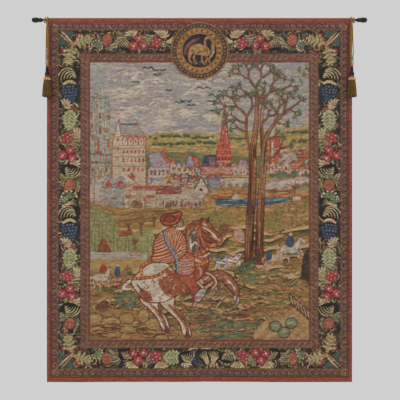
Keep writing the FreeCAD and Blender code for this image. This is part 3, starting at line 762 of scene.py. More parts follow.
def along(start, end, pitch):
    """Evenly spaced points along a run, each with the run's turn in degrees."""
    start, end = np.array(start, float), np.array(end, float)
    long = np.linalg.norm(end - start)
    count = max(round(long / pitch), 1)
    turn = math.degrees(math.atan2(end[1] - start[1], end[0] - start[0]))
    for i in range(count):
        x, y = start + (end - start) * (i + 0.5) / count
        yield x, y, turn


def edge_lines(start, end, offset, width, colours):
    """A line on each side of a run, offset from its middle."""
    shift = np.array([0, 1]) if start[1] == end[1] else np.array([1, 0])
    for way in (-1, 1):
        aside = shift * way * offset
        stroke([np.array(start) + aside, np.array(end) + aside], width, colours, 1)


def flower_border():
    """A garland of fruit, flowers and curled leaves on a dark ground."""
    l0, t0, r0, f0 = rectangle("flowers")
    l1, t1, r1, f1 = rectangle("guard")
    band((l0, t0, r0, f0), (l1, t1, r1, f1), NIGHT + " 18252a 131a1e")
    for box, count in (((l0, t0, r0, t1), 760), ((l0, f1, r0, f0), 760),
                       ((l0, t1, l1, f1), 800), ((r1, t1, r0, f1), 800)):
        litter(*box, count, int(box[0] + box[1]))
    middle = WIDE / 2
    for flip in (1, -1):
        edge = l0 if flip == 1 else r0

        def draw(motif, down, inset, turn, size):
            x = edge + flip * inset
            motif(Pen(x, down, turn * flip, size, flip))

        for repeat in (-1, 0, 1, 2):
            for motif, down, inset, turn, size in GARLAND:
                level = GARLAND_START + repeat * GARLAND_STEP + down
                if 240 < level < f0 - 190:
                    draw(motif, level, inset, turn, size)
        for level, end, up in ((t0, TOP_END, 1), (f0, FOOT_END, -1)):
            for motif, out, inset, turn, size in RUN + end:
                x = out if flip == 1 else WIDE - out
                way = turn * flip if up == 1 else (180 - turn) * flip
                motif(Pen(x, level + up * inset, way, size, flip))
            lean = 135 if up == 1 else 45
            corner_spray(Pen(edge + flip * 44, level + up * 44, lean * flip))
            for out, inset, turn, fruit in ((108, 44, 74, (86, 22)), (46, 112, 196, (22, 88))):
                x, y = edge + flip * out, level + up * inset
                oak_leaf(Pen(x, y, (turn if up == 1 else 180 - turn) * flip, 1.02, flip))
                disc(edge + flip * fruit[0], level + up * fruit[1], 11, WINE)
                disc(edge + flip * fruit[0], level + up * fruit[1], 9, RED)
                disc(edge + flip * (fruit[0] + 4), level + up * (fruit[1] + 1), 5.2, PINK + " e2c4a8", 6.4)
    zebra(Pen(middle - 60, f0 - 48, 170, 0.8))
    for i, flip in ((0, -1), (1, 1)):
        fan(Pen(middle + 30 + i * 34, f0 - 46, 12 * flip, 0.85, flip))
    zebra(Pen(middle + 118, f0 - 48, 10, 0.8, -1))


def guilloche():
    """A running wave of thin tan scrolls on dark brown between two olive lines."""
    outer, inner = rectangle("guilloche"), rectangle("flowers")
    band(outer, inner, "3c2429 452a2c 38262a")
    for start, end, width in runs(outer, inner):
        for x, y, turn in along(start, end, SCROLL_PITCH):
            pen = Pen(x, y, turn)
            pen.line([(-15, -8), (-12, 6), (-3, 11), (7, 6), (9, -4), (3, -9), (-4, -5), (-2, 2)], 2.9,
                     "957a56 7f6448", 0.7)
            pen.line([(9, -4), (13, -9), (16, -10)], 2.6, "8a6e54 745a42", 0.7)
            pen.dot(3, -1, 2.6, "6b4438")
            pen.line([(4, 11), (11, 10), (15, 4)], 2.3, "66624a 5a4438", 0.6)
        edge_lines(start, end, width / 2 - 1.8, 2.4, "6c5c3e 5a4c36")


def guard():
    """A narrow guard band: small rust S hooks between two olive stripes."""
    outer, inner = rectangle("guard"), rectangle("inner_line")
    band(outer, inner, "54443a 5c4638 4c4034")
    for start, end, width in runs(outer, inner):
        stroke([start, end], width * 0.52, "64423a 5a3833", 1)
        for x, y, turn in along(start, end, HOOK_PITCH):
            pen = Pen(x, y, turn)
            pen.line([(-9, 7), (-3, 7), (0, 0), (3, -7), (9, -7)], 2.8, "98694f 875647", 0.7)
            pen.line([(8, 6), (5, 1)], 2.6, "3c2628")
            pen.line([(-8, -6), (-5, -1)], 2.6, "3c2628")
        edge_lines(start, end, width * 0.5 - 7.4, 1.8, "736a4c")


# ------------------------------------------------------------ the landscape, in UNITs from its top left
def at(points):
    """Picture units to mm on the cloth."""
    return np.asarray(points, float) * UNIT + (FIELD_LEFT, FIELD_TOP)


def area(points, colours, field=HATCH, soft=True, edge=None, width=0.35):
    outline = smooth(at(points), closed=True) if soft else at(points)
    fill(outline, colours, field)
    if edge:
        stroke(np.concatenate([outline, outline[:1]]), width * UNIT, edge, 1, soft=False)


def brush(points, width, colours, taper=0.25, field=HATCH):
    stroke(at(points), width * UNIT, colours, taper, field)


def blob(x, y, wide, colours, high=None):
    """An ellipse of these half widths, all in picture units."""
    disc(*at([(x, y)])[0], wide * UNIT, colours, (high or wide) * UNIT)


def block(left, top, right, foot, colours, edge=None, width=0.3, field=HATCH):
    area([(left, top), (right, top), (right, foot), (left, foot)], colours, field, False, edge, width)


BRICK, STONE = "a8483c 96403a b4543f", "cdb694 c2ab8c d6c4a2"
LINE = "6e352e"


def sky():
    """Long drifting streaks of grey and buff, with cream wisps of cloud that curl on the left."""
    area([(-2, -2), (102, -2), (102, 36), (-2, 36)],
         "86878a 929390 8b8781 9c9484 a59b88 8a9095 96968f 9f9482", STREAK, False)
    clouds = random.Random(21)
    for x, y in strew(clouds, 620, -1, 101, 0, 34):
        long = clouds.uniform(2.5, 9)
        sway = clouds.uniform(-0.8, 0.8)
        tone = clouds.choice(["b5a791", "7b8288", "a3957f", "787672", "c6b391", "8d939a", "6f757b", "988a78"])
        brush([(x - long / 2, y), (x, y + sway), (x + long / 2, y + sway * 0.3)], 0.40, tone, 0.2)
    for x, y, r in ((15, 16, 5), (25, 14, 5.6), (30, 9.5, 4.4), (33, 19, 4), (20, 7, 4.4), (12, 8, 3.2),
                    (40, 24, 5), (47, 26, 5), (33, 27, 4.2), (27, 23, 4.4), (55, 27, 4.6), (50, 12, 4.6),
                    (47, 15, 3.6), (58, 9, 3.4), (64, 5, 3.4), (88, 30, 4.6), (97, 24, 3.6), (6, 28, 3)):
        for _ in range(16):
            reach = r * clouds.uniform(0.25, 1)
            begin, sweep = clouds.uniform(0, 130), clouds.uniform(35, 95)
            cx, cy = x + clouds.uniform(-0.6, 0.6) * r, y + clouds.uniform(-0.35, 0.35) * r
            arc = [(cx + 1.5 * reach * math.cos(a), cy - 0.62 * reach * math.sin(a))
                   for a in np.radians(np.linspace(begin, begin + sweep, 6))]
            tone = clouds.choice(["d6c498 cdb98c", "d6c498 cdb98c", "dccba2", "8b8f92 83868a", "7d7c79"])
            brush(arc, clouds.uniform(0.45, 1.05), tone, 0.2)
    for x, y in strew(clouds, 70, 6, 62, 3, 33.5):
        long = clouds.uniform(2.5, 8)
        brush([(x, y), (x + long * 0.5, y - clouds.uniform(-0.3, 1)), (x + long, y + 0.2)],
              clouds.uniform(0.4, 0.85), clouds.choice(["d6c498 cbb78e", "c8b78f"]), 0.2)
    for x, y in strew(clouds, 160, 60, 100, 0, 24):
        brush([(x, y), (x + clouds.uniform(-0.7, 0.7), y + clouds.uniform(0.8, 2.4))], 0.42,
              clouds.choice(["b8aa92", "7d858c", "a89b86", "8e9294"]), 0.3)


def bird(x, y, size, lift=1):
    for way in (-1, 1):
        wing = [(x, y), (x + 1.4 * size * way, y - 0.9 * size * lift), (x + 3 * size * way, y - 0.2 * size)]
        brush(wing, 0.8, "24484e 1f4048", 0.25)


def hills():
    """Yellow-green hills with rows of dark trees."""
    area([(-2, 33.6), (20, 33.4), (38, 31.8), (55, 32.6), (74, 31.6), (90, 30.6), (102, 31.2), (102, 62),
          (-2, 62)],
         "a88c4c 9c8a4c b3975a 8c8248 a9904f", MOTTLE)
    ground = random.Random(33)
    for x, y in strew(ground, 340, 22, 100, 33, 51):
        long = ground.uniform(3, 9)
        tone = ground.choice(["7f8448", "c4a662", "6a7844", "a07c40", "5c7048", "cfb474", "8a5a3c"])
        brush([(x, y), (x + long / 2, y - ground.uniform(0, 0.6)), (x + long, y + 0.2)], 0.5, tone)
    area([(24, 42.5), (40, 41), (56, 42), (72, 43), (86, 41), (102, 43), (102, 52), (24, 52)],
         "4f6844 5c6c44 46603f 6c7848 7c5a40", HATCH)
    for start, end, level in ((25, 29, 34.6), (32, 46, 33.6), (47, 56, 34.4), (64, 71, 35), (90, 100, 32),
                              (29, 38, 37.2), (40, 48, 37), (50, 57, 36.6), (93, 100, 36)):
        x = start
        while x < end:
            size = ground.uniform(0.55, 1.25)
            if ground.random() < 0.2:
                x += 1.2
            disc(*at([(x, level + ground.uniform(-0.5, 0.4))])[0], size * UNIT, "2c4a34 3c5a3e 264034",
                 size * UNIT * 0.72)
            brush([(x - 0.5, level - 0.3), (x + 0.4, level - 0.5)], 0.35, "6a8056")
            x += size * 1.25


def window_row(left, right, y, count, high, colours="7c3a34", wide=0.9):
    for i in range(count):
        x = left + (right - left) * (i + 0.5) / count
        block(x - wide / 2, y, x + wide / 2, y + high, colours)
        brush([(x - wide / 2, y + high + 0.15), (x + wide / 2, y + high + 0.15)], 0.25, "e2d3b0", 1)


def gable(x, foot, wide, high, wall, roof, edge=LINE):
    """The gable end of a house: wall, two roof slopes and a window."""
    area([(x - wide / 2, foot), (x - wide / 2, foot - high * 0.5), (x, foot - high),
          (x + wide / 2, foot - high * 0.5),
          (x + wide / 2, foot)], wall, UPRIGHT, False, edge)
    for way in (-1, 1):
        brush([(x, foot - high - 0.3), (x + way * (wide / 2 + 0.3), foot - high * 0.46)], 0.7, roof, 0.9)
    block(x - wide * 0.13, foot - high * 0.55, x + wide * 0.13, foot - high * 0.3, "5c3a34")


def church():
    """A pale church with two spires at the left edge."""
    pale = "8f9786 84907f 9c9a84 7a8b7c 938a76"
    area([(-1, 22), (1.5, 20), (1.8, 12), (2.6, 10.5), (3.3, 2.6), (4, 10.5), (4.8, 12), (5, 20), (8.8, 19),
          (9.4, 58), (-1, 60)], pale, UPRIGHT, False, "6f8580")
    area([(5, 16.5), (5.4, 10.4), (5.8, 16.5), (8.4, 15.6), (8.9, 58), (4.6, 58)], pale + " b9b7a4", UPRIGHT,
         False, "6f8580")
    area([(2.9, 12), (3.3, 2.4), (3.8, 12)], "6f8e88 8fa39a", UPRIGHT, False)
    area([(5, 16), (5.4, 9.8), (6.2, 16)], "cfc094 bfb088", UPRIGHT, False)
    masonry = random.Random(5)
    for x, y in strew(masonry, 190, -0.5, 9, 14, 57):
        tall = masonry.uniform(0.8, 3.6)
        brush([(x, y), (x + masonry.uniform(-0.3, 0.3), y + tall)], 0.38,
              masonry.choice(["5a7068", "c9b890", "4a625c", "b8a882", "a07258", "7c4638", "6a7a62"]))
    for x, y in strew(masonry, 90, 0, 8.6, 14, 57):
        brush([(x, y), (x + masonry.uniform(0.6, 2), y + masonry.uniform(-0.6, 0.6))], 0.38,
              masonry.choice(["5c7068", "c9b88e", "8c4836", "405650"]))
    for x, y, high in ((0.3, 22.5, 3.4), (4.2, 22.8, 3), (2.8, 14, 1.8), (8.2, 24, 2.2), (4, 29, 4),
                       (0.4, 28, 2.4),
                       (3.4, 35, 6), (7.8, 35, 4), (2.6, 40.5, 1.2), (4.4, 40.5, 1.2), (7.2, 47.8, 2.2),
                       (0.8, 48.4, 1.6)):
        block(x, y, x + 0.9, y + high, "9c4a36 8c4032")
    for y in (41.6, 45.4):
        brush([(-0.5, y), (4, y + 0.4), (10, y + 0.8)], 0.55, "5f4a44", 0.8)


def mansion():
    """A tall stone house with a slate roof and a row of dormers, and a timbered house beside it."""
    wall = "c8b08c bca482 d0bc98 b49c7e"
    area([(10.2, 36), (11.6, 33.4), (12.9, 26.6), (14.6, 33), (25.4, 34), (25.6, 57.5), (10, 57.5)], wall,
         UPRIGHT, False, LINE)
    area([(12.7, 33.2), (13.5, 28.5), (21.6, 28.4), (25.2, 34.2)], "94887a 867e76 9d9484", HATCH, False, LINE)
    brush([(13.6, 28.3), (21.4, 28.3)], 0.7, "35566a", 1)
    for x in (13.4, 21.5):
        brush([(x, 29.2), (x, 26.6)], 0.7, "b2533e", 0.8)
    area([(11.2, 34), (12.9, 26), (14.2, 34)], "d8cdb0 b8b09c", UPRIGHT, False, "8a5a4c")
    for x in (16, 18.4, 20.8, 23.4):
        gable(x, 37.8, 2.3, 4.2, "d3bf9a c8b28e", "a04a3c")
    for y, high, count in ((40, 1.7, 6), (43.8, 1.9, 6), (48.2, 1.8, 5)):
        window_row(14.4, 25.2, y, count, high, "a5523f 7e4038")
        brush([(10.2, y - 0.7), (25.4, y - 0.7)], 0.3, "6d6a5e", 1)
    for y in (34.5, 39, 43.4):
        block(12.1, y, 13, y + 1.6, "a5523f")
    area([(17.4, 52), (18.9, 50.4), (20.2, 52), (20.2, 56), (17.4, 56)], "7c3b34 98483c", HATCH, False, LINE)
    marks = random.Random(28)
    for x, y in strew(marks, 130, 10.6, 25.2, 35, 57):
        brush([(x, y), (x + marks.uniform(-0.2, 0.9), y + marks.uniform(-0.2, 1.3))], 0.36,
              marks.choice(["a5705a", "d9c6a0", "8a7460", "b8a07c", "7c5244", "c9a47c"]))
    area([(26.6, 42), (32.2, 40.8), (37.4, 48), (27.6, 48.2)], "8d93a0 7e8694 a08a94", HATCH, False, "5c4a4c")
    area([(31.8, 41), (33.2, 40.6), (38.6, 47.6), (36.8, 48.2)], BRICK, HATCH, False, "4d4654")
    for x, y in ((31.5, 44.4), (33.4, 46.6), (30.4, 46.8), (35, 46.2)):
        block(x, y, x + 1.2, y + 0.9, "c9788c")
    block(26.4, 48, 36.6, 58, "d2bf9c c4ae8a c9b596", "6a4a40", field=UPRIGHT)
    window_row(27, 36.4, 49.2, 5, 2.6, "5c5a62")
    block(26.8, 52.6, 34, 54.2, "8b96a2 78869a")
    for x in (34.6, 35.6):
        block(x, 50.5, x + 0.5, 57.5, "c2763f")


def walls():
    """Garden walls, round towers and arches in front of the houses."""
    stone = "c8b79a b9ab94 bfb2a0 d2c3a4"
    area([(-1, 56), (6, 53), (16, 51.6), (24, 56.5), (40, 57), (52, 59), (52, 67), (36, 68), (14, 70),
          (-1, 67)],
         stone + " a9a7a0", MOTTLE, False)
    area([(2, 55), (6, 54.6), (6.6, 69), (1.6, 69)], "b9b6ac a8a8a4 c9c0ae", UPRIGHT, False, "7b6a60")
    area([(5.6, 57), (15, 57), (15.4, 69.6), (6.4, 69.4)], "9aa39c aeb0a4 8f9a98", MOTTLE, False)
    for x in (8.6, 14):
        area([(x - 2.4, 57.2), (x - 1.8, 53.6), (x, 52.2), (x + 1.8, 53.6), (x + 2.4, 57.2)],
             "9aa8b0 8795a4", HATCH, True, "7c5a54")
        area([(x - 1.5, 57), (x - 1.2, 54.8), (x, 53.8), (x + 1.2, 54.8), (x + 1.5, 57)], BRICK, HATCH)
    block(15.2, 58.6, 30.2, 68.6, stone, "9a6c5c", field=MOTTLE)
    window_row(15.8, 25.2, 60.4, 6, 2, "8c7c4e b09a60", 1.1)
    block(25.6, 60.6, 29.4, 62.2, "a8503e")
    block(30.4, 56.6, 41.6, 60, "8f4a44 a35a4c 6f4048", LINE)
    block(19.4, 56.4, 31, 58.2, "a3473c", None)
    area([(18.5, 66), (19.5, 63.4), (21.5, 62.6), (24, 64.6), (23.4, 66.8)], "8a7048 75603e")
    for x in (15.2, 24.8):
        block(x, 61, x + 0.6, 68.5, "b8604c")
    rubble = random.Random(18)
    for x, y in strew(rubble, 260, -0.5, 51, 54, 68.5):
        brush([(x, y), (x + rubble.uniform(0.5, 2.6), y + rubble.uniform(-0.7, 0.7))],
              rubble.uniform(0.3, 0.55),
              rubble.choice(["9a8468", "d8c6a2", "7c8a90", "8a6a54", "a8583f", "c9b48e", "6a7a70", "b08c60"]))
    crowd = random.Random(8)
    for x, y in strew(crowd, 64, 31.5, 52, 63, 65.2):
        brush([(x, y), (x + crowd.uniform(-0.3, 0.3), y + 1.7)], 0.55,
              crowd.choice(["7b5c48", "5f463c", "97785a", "6a5c58"]), 0.5)


def town():
    """Roofs between the mansion and the river, with a chapel and a brick spire."""
    houses = random.Random(14)
    slates = ["5d6878 6d7580", "a8483c 96403a", "b4604c a8543f", "46566c 55627a", "8a8478 999088"]
    for x in np.arange(38, 59, 2.5):
        y = houses.uniform(50.5, 54.5)
        gable(x, y, houses.uniform(2.6, 3.6), houses.uniform(4.5, 7), STONE, houses.choice(slates))
    for x in np.arange(40, 60, 3.1):
        y = houses.uniform(55, 58)
        roof = houses.choice(slates)
        area([(x - 2, y - 2.4), (x - 1.3, y - 4.6), (x + 1.6, y - 4.6), (x + 2.2, y - 2.4)], roof, HATCH,
             False, LINE)
        block(x - 1.9, y - 2.4, x + 2, y, STONE, LINE)
        window_row(x - 1.8, x + 1.8, y - 1.9, 3, 1, "6a4038", 0.5)
    area([(51.4, 47.6), (52.4, 43), (58, 42.2), (61, 43.4), (64.6, 47.8)], "2f3f55 3a4b62 28364a", UPRIGHT,
         False, "1f2a3a")
    for x in (55, 56.4, 59.6):
        brush([(x, 47.4), (x - 0.3, 43.6)], 0.6, "a8503e", 0.6)
    block(50.4, 47.6, 66.4, 51.4, "b5726a c28a7c a9665e", LINE)
    area([(57.9, 47), (57.9, 40), (59.4, 36.4), (61.5, 18.6), (63.6, 38), (64.3, 40), (64.3, 47)],
         "a3433a b65446 98403a", UPRIGHT, False, "6c2c2c")
    for x0, x1 in ((60.4, 61.3), (62.6, 61.7)):
        brush([(x0, 39), (x1, 22)], 0.38, "cf8470 7a2e2c", 0.5)
    for y in (40, 42.6, 45.4):
        brush([(57.9, y), (64.4, y)], 0.4, "bd7262", 1)
    for x in (58.2, 59, 63.8):
        brush([(x, 40), (x, 35)], 0.5, "b04a3e", 0.2)
    window_row(58.2, 64.2, 43.4, 4, 1.6, "5c2428", 0.7)
    area([(43.2, 48.4), (45, 42.6), (48.6, 43), (48.4, 47.6)], "8a8294 7c7690", UPRIGHT, False, LINE)
    area([(46.6, 43), (49.2, 43.4), (50.2, 48), (47.8, 48)], "b05a54 a04c48", UPRIGHT, False, LINE)
    area([(66.4, 48.6), (68.6, 44.4), (71.4, 44.8), (72.8, 48.8)], "7a8a78 8f7f8a 6c8070", UPRIGHT, False,
         LINE)
    for x, y in strew(houses, 330, 26, 72, 46.5, 61):
        long, rise_by = houses.uniform(0.5, 2.2), houses.uniform(-1.5, 1.5)
        brush([(x, y), (x + long, y + rise_by)], houses.uniform(0.28, 0.6),
              houses.choice(["8c4034", "b8604c", "4c5868", "d8c6a0", "5c4038", "6f7f58", "8a93a0", "e0d0ac",
                             "3c4a54", "a87c50"]))
    gable(50.8, 63, 6.2, 10.4, "d9cdb0 cfc0a0", "3a4a60", "5c5048")
    area([(49.6, 62.4), (49.6, 59.8), (50.4, 58.8), (51.2, 59.8), (51.2, 62.4)], "3c302c")
    area([(53.6, 52.8), (58.8, 53.4), (60.2, 57.8), (55, 58.4)], "8792a2 77859a", HATCH, False, "5c4a4c")
    area([(54.6, 61.4), (55.2, 58.6), (58.6, 57.4), (62, 59.2), (62.4, 61.4)], "b0743c a0602f c08a50", HATCH,
         True, "6a4030", 0.3)
    for x in (66.5, 68.6, 70.4):
        gable(x, 52.2, 2.6, 5.2, STONE, "c07a82")
    area([(61, 52), (74, 52.4), (74, 60.2), (62.4, 60.4)], "c9baa0 bca98c 9fa08c", HATCH, False, "8a5a4c")
    block(60, 51.6, 73, 52.6, "c8a87c b08a60", LINE)
    for x, wide, top in ((63, 2.2, 55), (66, 2, 55.4), (69.2, 4.2, 54.8)):
        area([(x, 58.8), (x + wide * 0.1, top + 1.2), (x + wide / 2, top), (x + wide * 0.9, top + 1.2),
              (x + wide, 58.8)],
             "6f8568 58705a 7c8c80", HATCH, True, "8a6a58", 0.3)


def far_bank():
    """Houses, a tower and an arched bridge to the right of the trees."""
    block(82, 33.6, 86.6, 47, "a8483c 96403a b4543f", "6c2c2c", field=UPRIGHT)
    area([(82, 34), (83.4, 30), (84.8, 34)], "b9bcc0 a2a6ac", HATCH, False)
    block(83, 36.6, 83.7, 45.2, "d3c4a0")
    homes = random.Random(40)
    for x in np.arange(80.5, 100, 3):
        y = homes.uniform(50.5, 52.5)
        gable(x, y, 3.3, homes.uniform(5, 6.5), STONE, homes.choice(["8a8478", "5d6878", "b4543f"]))
    area([(85.6, 45.8), (87, 41.4), (93, 41), (95.2, 44.6), (95, 46)], "a8988c 978c88 b3a498", HATCH, False,
         "7b5a50")
    area([(91.6, 48.6), (92.4, 45.6), (97, 45), (98.6, 48.8)], "c0603c b5532f", HATCH, False, LINE)
    area([(94.4, 43.4), (95.4, 39.8), (102, 40.4), (102, 44)], BRICK, HATCH, False, LINE)
    for x, y in strew(homes, 190, 79, 100.5, 38.5, 56):
        brush([(x, y), (x + homes.uniform(0.5, 2.4), y + homes.uniform(-1.3, 1.3))], homes.uniform(0.3, 0.6),
              homes.choice(["8c4034", "b8604c", "5c7050", "d8c6a0", "5c4038", "6f7f58", "8a8478", "e0d0ac",
                            "3c4a54", "a86c48"]))
    for x, y in ((86, 51.6), (88.4, 51.2), (93.4, 50.8), (98.6, 52)):
        blob(x, y, 1.9, "52705a 466650", 1.5)
    area([(73, 60.8), (79.6, 55.6), (91, 53.2), (97, 52.2), (102, 54.4), (102, 58.6), (92, 58.6), (84, 60.4)],
         "cbb6a0 d6c3ac bfa898", MOTTLE, True, "8b6458")
    for x, y in ((84.6, 59.6), (89.4, 58.6), (94.4, 57.6), (98.6, 56.8)):
        area([(x - 1.9, y + 1.4), (x - 1.6, y - 1), (x, y - 2.2), (x + 1.6, y - 1), (x + 1.9, y + 1.4)],
             "6c8468 5a7560", HATCH, True, "9a5a50")


def river():
    """A blue reach of river and its brown banks."""
    area([(55, 58.5), (70, 57.5), (84, 60), (102, 57.6), (102, 68), (55, 67)], "a98a56 967448 b4945c", MOTTLE)
    banks = random.Random(2)
    for x, y in strew(banks, 70, 54, 100, 58.5, 62.4):
        long = banks.uniform(3, 9)
        brush([(x, y), (x + long / 2, y - banks.uniform(-0.3, 0.8)), (x + long, y - banks.uniform(0, 1.2))],
              0.55, banks.choice(["8d4a38", "b56b45", "6b5638", "c79a5e", "7c4a34"]))
    area([(57.2, 63.2), (60, 62.4), (70, 62.8), (80, 62), (92.5, 61.6), (92, 62.8), (82, 65.2), (72, 66.6),
          (62, 66.2), (57.6, 65)],
         "2a5468 356478 24465c 44707f", STREAK)
    for x, y, long in ((60, 63.4, 8), (66, 65.2, 9), (74, 64.2, 8), (80, 63.2, 7), (70, 63.4, 6),
                       (59, 65.2, 6), (76, 65.4, 6), (84, 62.6, 6)):
        brush([(x, y), (x + long / 2, y - 0.2), (x + long, y - 0.3)], 0.45, "9db4b4 7c9ca4")
    area([(65, 62.6), (65.6, 60.6), (67, 60), (68.2, 62.6)], "d9d2bc c4bfa8")
    block(92.4, 61.2, 96.4, 63.4, "d9c9a8", LINE)
    brush([(55, 66.6), (62, 67.2), (70, 67.4)], 0.7, "8d5038")


def meadow():
    """Ochre and olive ground falling to the foot of the picture."""
    area([(-2, 64), (20, 67), (44, 66.4), (56, 66), (74, 67), (102, 64), (102, 129), (-2, 129)],
         "a3864e 94804a b08f58 867842 ac8c58 987e46", MOTTLE, False)
    strokes = random.Random(51)
    tones = ["87824a", "c7a86c", "787a44", "b88f50", "9c7840", "cfb47c", "7a6a3a", "8a5a3c", "667048"]
    for x, y in strew(strokes, 2100, -1, 100, 66, 126):
        long = strokes.uniform(1.5, 6)
        rise = strokes.uniform(-0.9, 0.5)
        brush([(x, y), (x + long / 2, y + rise * 0.6), (x + long, y + rise)], 0.5, strokes.choice(tones))
    for path in ([(12, 70.6), (22, 68.4), (34, 68), (44, 66.6)], [(13, 72.6), (20, 71.6), (26, 70)],
                 [(34, 77), (40, 74.6), (46, 72)], [(58, 79), (66, 77), (72, 78.4)],
                 [(80, 80.8), (88, 77.6), (100, 72.8)], [(54, 92), (62, 88.4), (70, 88)],
                 [(80, 95), (90, 92.6), (100, 92)], [(68, 108), (80, 106.6), (92, 102.5)]):
        brush(path, 0.75, "8a5538 7a4a32", 0.2)
        brush([(x + 0.3, y + 0.8) for x, y in path], 0.55, "6f8552", 0.2)
    for x, y, wide, high in ((8, 96, 8, 2.4), (58, 105, 9, 2.2), (88, 100, 8, 2.6), (86, 108, 9, 3),
                             (70, 101, 6, 2),
                             (58, 72, 10, 3), (80, 74, 8, 3), (20, 92, 9, 2)):
        disc(*at([(x, y)])[0], wide * UNIT, "76804a 888648 948a50", high * UNIT, field=HATCH)
    tangle(-1, 74, 101, 92, 60, strokes)
    contours(strokes)
    tangle(-1, 94, 101, 126, 360, strokes)


def contours(spot):
    """Long folds of the ground: a dark brown line with light ochre above it and green below."""
    for x, y in strew(spot, 110, -3, 92, 76, 124):
        long, fall, bow = spot.uniform(7, 20), spot.uniform(-4.5, 3.5), spot.uniform(-2.6, 2.6)
        for drop, width, colours in ((-1, 1.5, "d6b67a e6c88a"), (1.1, 1.4, "4c6038 64744a"),
                                     (0, 0.85, "3a1e16 52301f")):
            brush([(x, y + drop), (x + long * 0.35, y + drop - bow + fall * 0.35),
                   (x + long * 0.7, y + drop + fall * 0.7 + bow * 0.4),
                   (x + long, y + drop + fall)], width, colours, 0.15)


def tangle(left, top, right, foot, count, spot):
    """Turf drawn as many short contours: dark brown curves with a green and a light one beside them."""
    for x, y in strew(spot, count, left, right, top, foot):
        long, bow = spot.uniform(1.6, 5), spot.uniform(-1.6, 1.6)
        tilt = spot.uniform(-1.4, 0.9)
        for drop, width, colours in (
            (0, 0.42, spot.choice(["5c3226", "6b3a2a", "4c2c26", "7a4630"])),
            (0.55, 0.45, spot.choice(["56744e", "3f6a52", "6f8050", "8a8448"])),
            (-0.5, 0.36, spot.choice(["d0b078", "c49c60", "d8bf8c"])),
        ):
            brush([(x, y + drop), (x + long / 2, y + drop - bow), (x + long, y + drop + tilt)], width,
                  colours)


def bare_tree(x, foot, high, spread, colours="6b4a34 7c5a3c"):
    for lean in (-1, -0.45, 0.1, 0.55, 1):
        tip = (x + lean * spread, foot - high * (1 - 0.22 * abs(lean)))
        brush([(x, foot), (x + lean * spread * 0.22, foot - high * 0.5), tip], 0.55, colours, 0.3)
    brush([(x, foot), (x, foot - high * 0.55)], 0.9, colours, 0.8)


def copse():
    """Soft green trees, a hut and water on the left."""
    area([(-1, 69), (3, 67.4), (7, 68.2), (10.5, 71), (12, 76), (14, 80), (14.5, 87), (-1, 87.5)],
         "8c9c64 7d9060 98a26a 72885c", UPRIGHT, True)
    trunks = random.Random(3)
    for x in np.arange(0.5, 13, 1.7):
        top = 71 + abs(x - 5) * 0.7
        brush([(x, 86.5), (x + 0.1, top)], 0.36, "5b6c48 6a5a40", 0.4)
        for _ in range(9):
            y = trunks.uniform(top, 85)
            brush([(x, y), (x + trunks.uniform(-1.2, 1.2), y - 1.1)], 0.4,
                  trunks.choice(["5f7a50", "a4ac72", "6c8656"]))
    area([(14.6, 80), (20, 77.4), (28, 76.4), (29, 87), (14.6, 87)], "8c9c64 a3a066 7d9060", UPRIGHT)
    for x in (16, 17.6, 19.4, 21.4, 26.2):
        brush([(x, 87), (x + 0.1, 80)], 0.5, "5f7a50 4c6a4a")
    area([(3.4, 86.6), (5.2, 80.8), (7.6, 80.8), (10, 86.6)], "7c4c34 8f5a3c 6a4030", UPRIGHT, False,
         "4a2c22")
    brush([(7.4, 80.8), (10.2, 86.6)], 0.5, "c79a5e", 0.8)
    block(-1, 86.8, 26, 90.4, "b3b5ae a6adac bcb6a8", None, field=STREAK)
    for y in (87.6, 88.8):
        brush([(0, y), (12, y + 0.3), (25, y)], 0.35, "8c9c9c")
    for y in (87, 88.1, 89.2):
        brush([(18.4, y), (24, y)], 0.42, "b06a52", 1)
    area([(-1, 90.2), (10, 89.8), (26, 90.2), (26, 95), (-1, 95)], "c2a468 a9a060 b59a5c", STREAK)
    for x, foot, high, spread in ((23.4, 79.4, 9.6, 2.6), (29.2, 75.4, 7, 2.4), (17.6, 77.4, 6.2, 3.2),
                                  (20.4, 86, 6.5, 1.8)):
        bare_tree(x, foot, high, spread)
    area([(12.6, 79.4), (15, 77.2), (18.6, 76.4), (19.4, 78.6), (15.6, 79.6)], "9c5a44 84483a")


def leaf_cluster(x, y, size, spot, heading=90):
    """A fan of grey-green blades at a twig's end."""
    tones = ["43543e", "52634a", "384a38", "66725a", "4a5c44"]
    blades = 6
    for k in range(blades):
        a = math.radians(heading - 85 + 170 * k / (blades - 1) + spot.uniform(-10, 10))
        reach = size * spot.uniform(1.3, 2.3)
        tip = (x + reach * math.cos(a), y - reach * math.sin(a))
        brush([(x, y), ((x + tip[0]) / 2 + spot.uniform(-0.2, 0.2), (y + tip[1]) / 2), tip], 0.62 * size,
              spot.choice(tones), 0.35)


def branch(x, y, heading, reach, width, spot, depth):
    """A bough that forks as it goes and ends in leaves."""
    bend = heading + spot.uniform(-18, 18)
    a, b = math.radians(heading), math.radians(bend)
    middle = (x + reach * 0.5 * math.cos(a), y - reach * 0.5 * math.sin(a))
    tip = (middle[0] + reach * 0.5 * math.cos(b), middle[1] - reach * 0.5 * math.sin(b))
    brush([(x, y), middle, tip], width + 0.35, "4a2c22", 0.75)
    brush([(x, y), middle, tip], width, "744636 84543e 5c382c", 0.75)
    if depth == 0 or reach < 1.6:
        leaf_cluster(*tip, 1, spot, bend)
        return
    leaf_cluster(*middle, 0.6, spot, heading + spot.choice([-60, 60]))
    for spread in (-1, 1):
        branch(*tip, bend + spread * spot.uniform(18, 38), reach * spot.uniform(0.60, 0.78), width * 0.68,
               spot, depth - 1)


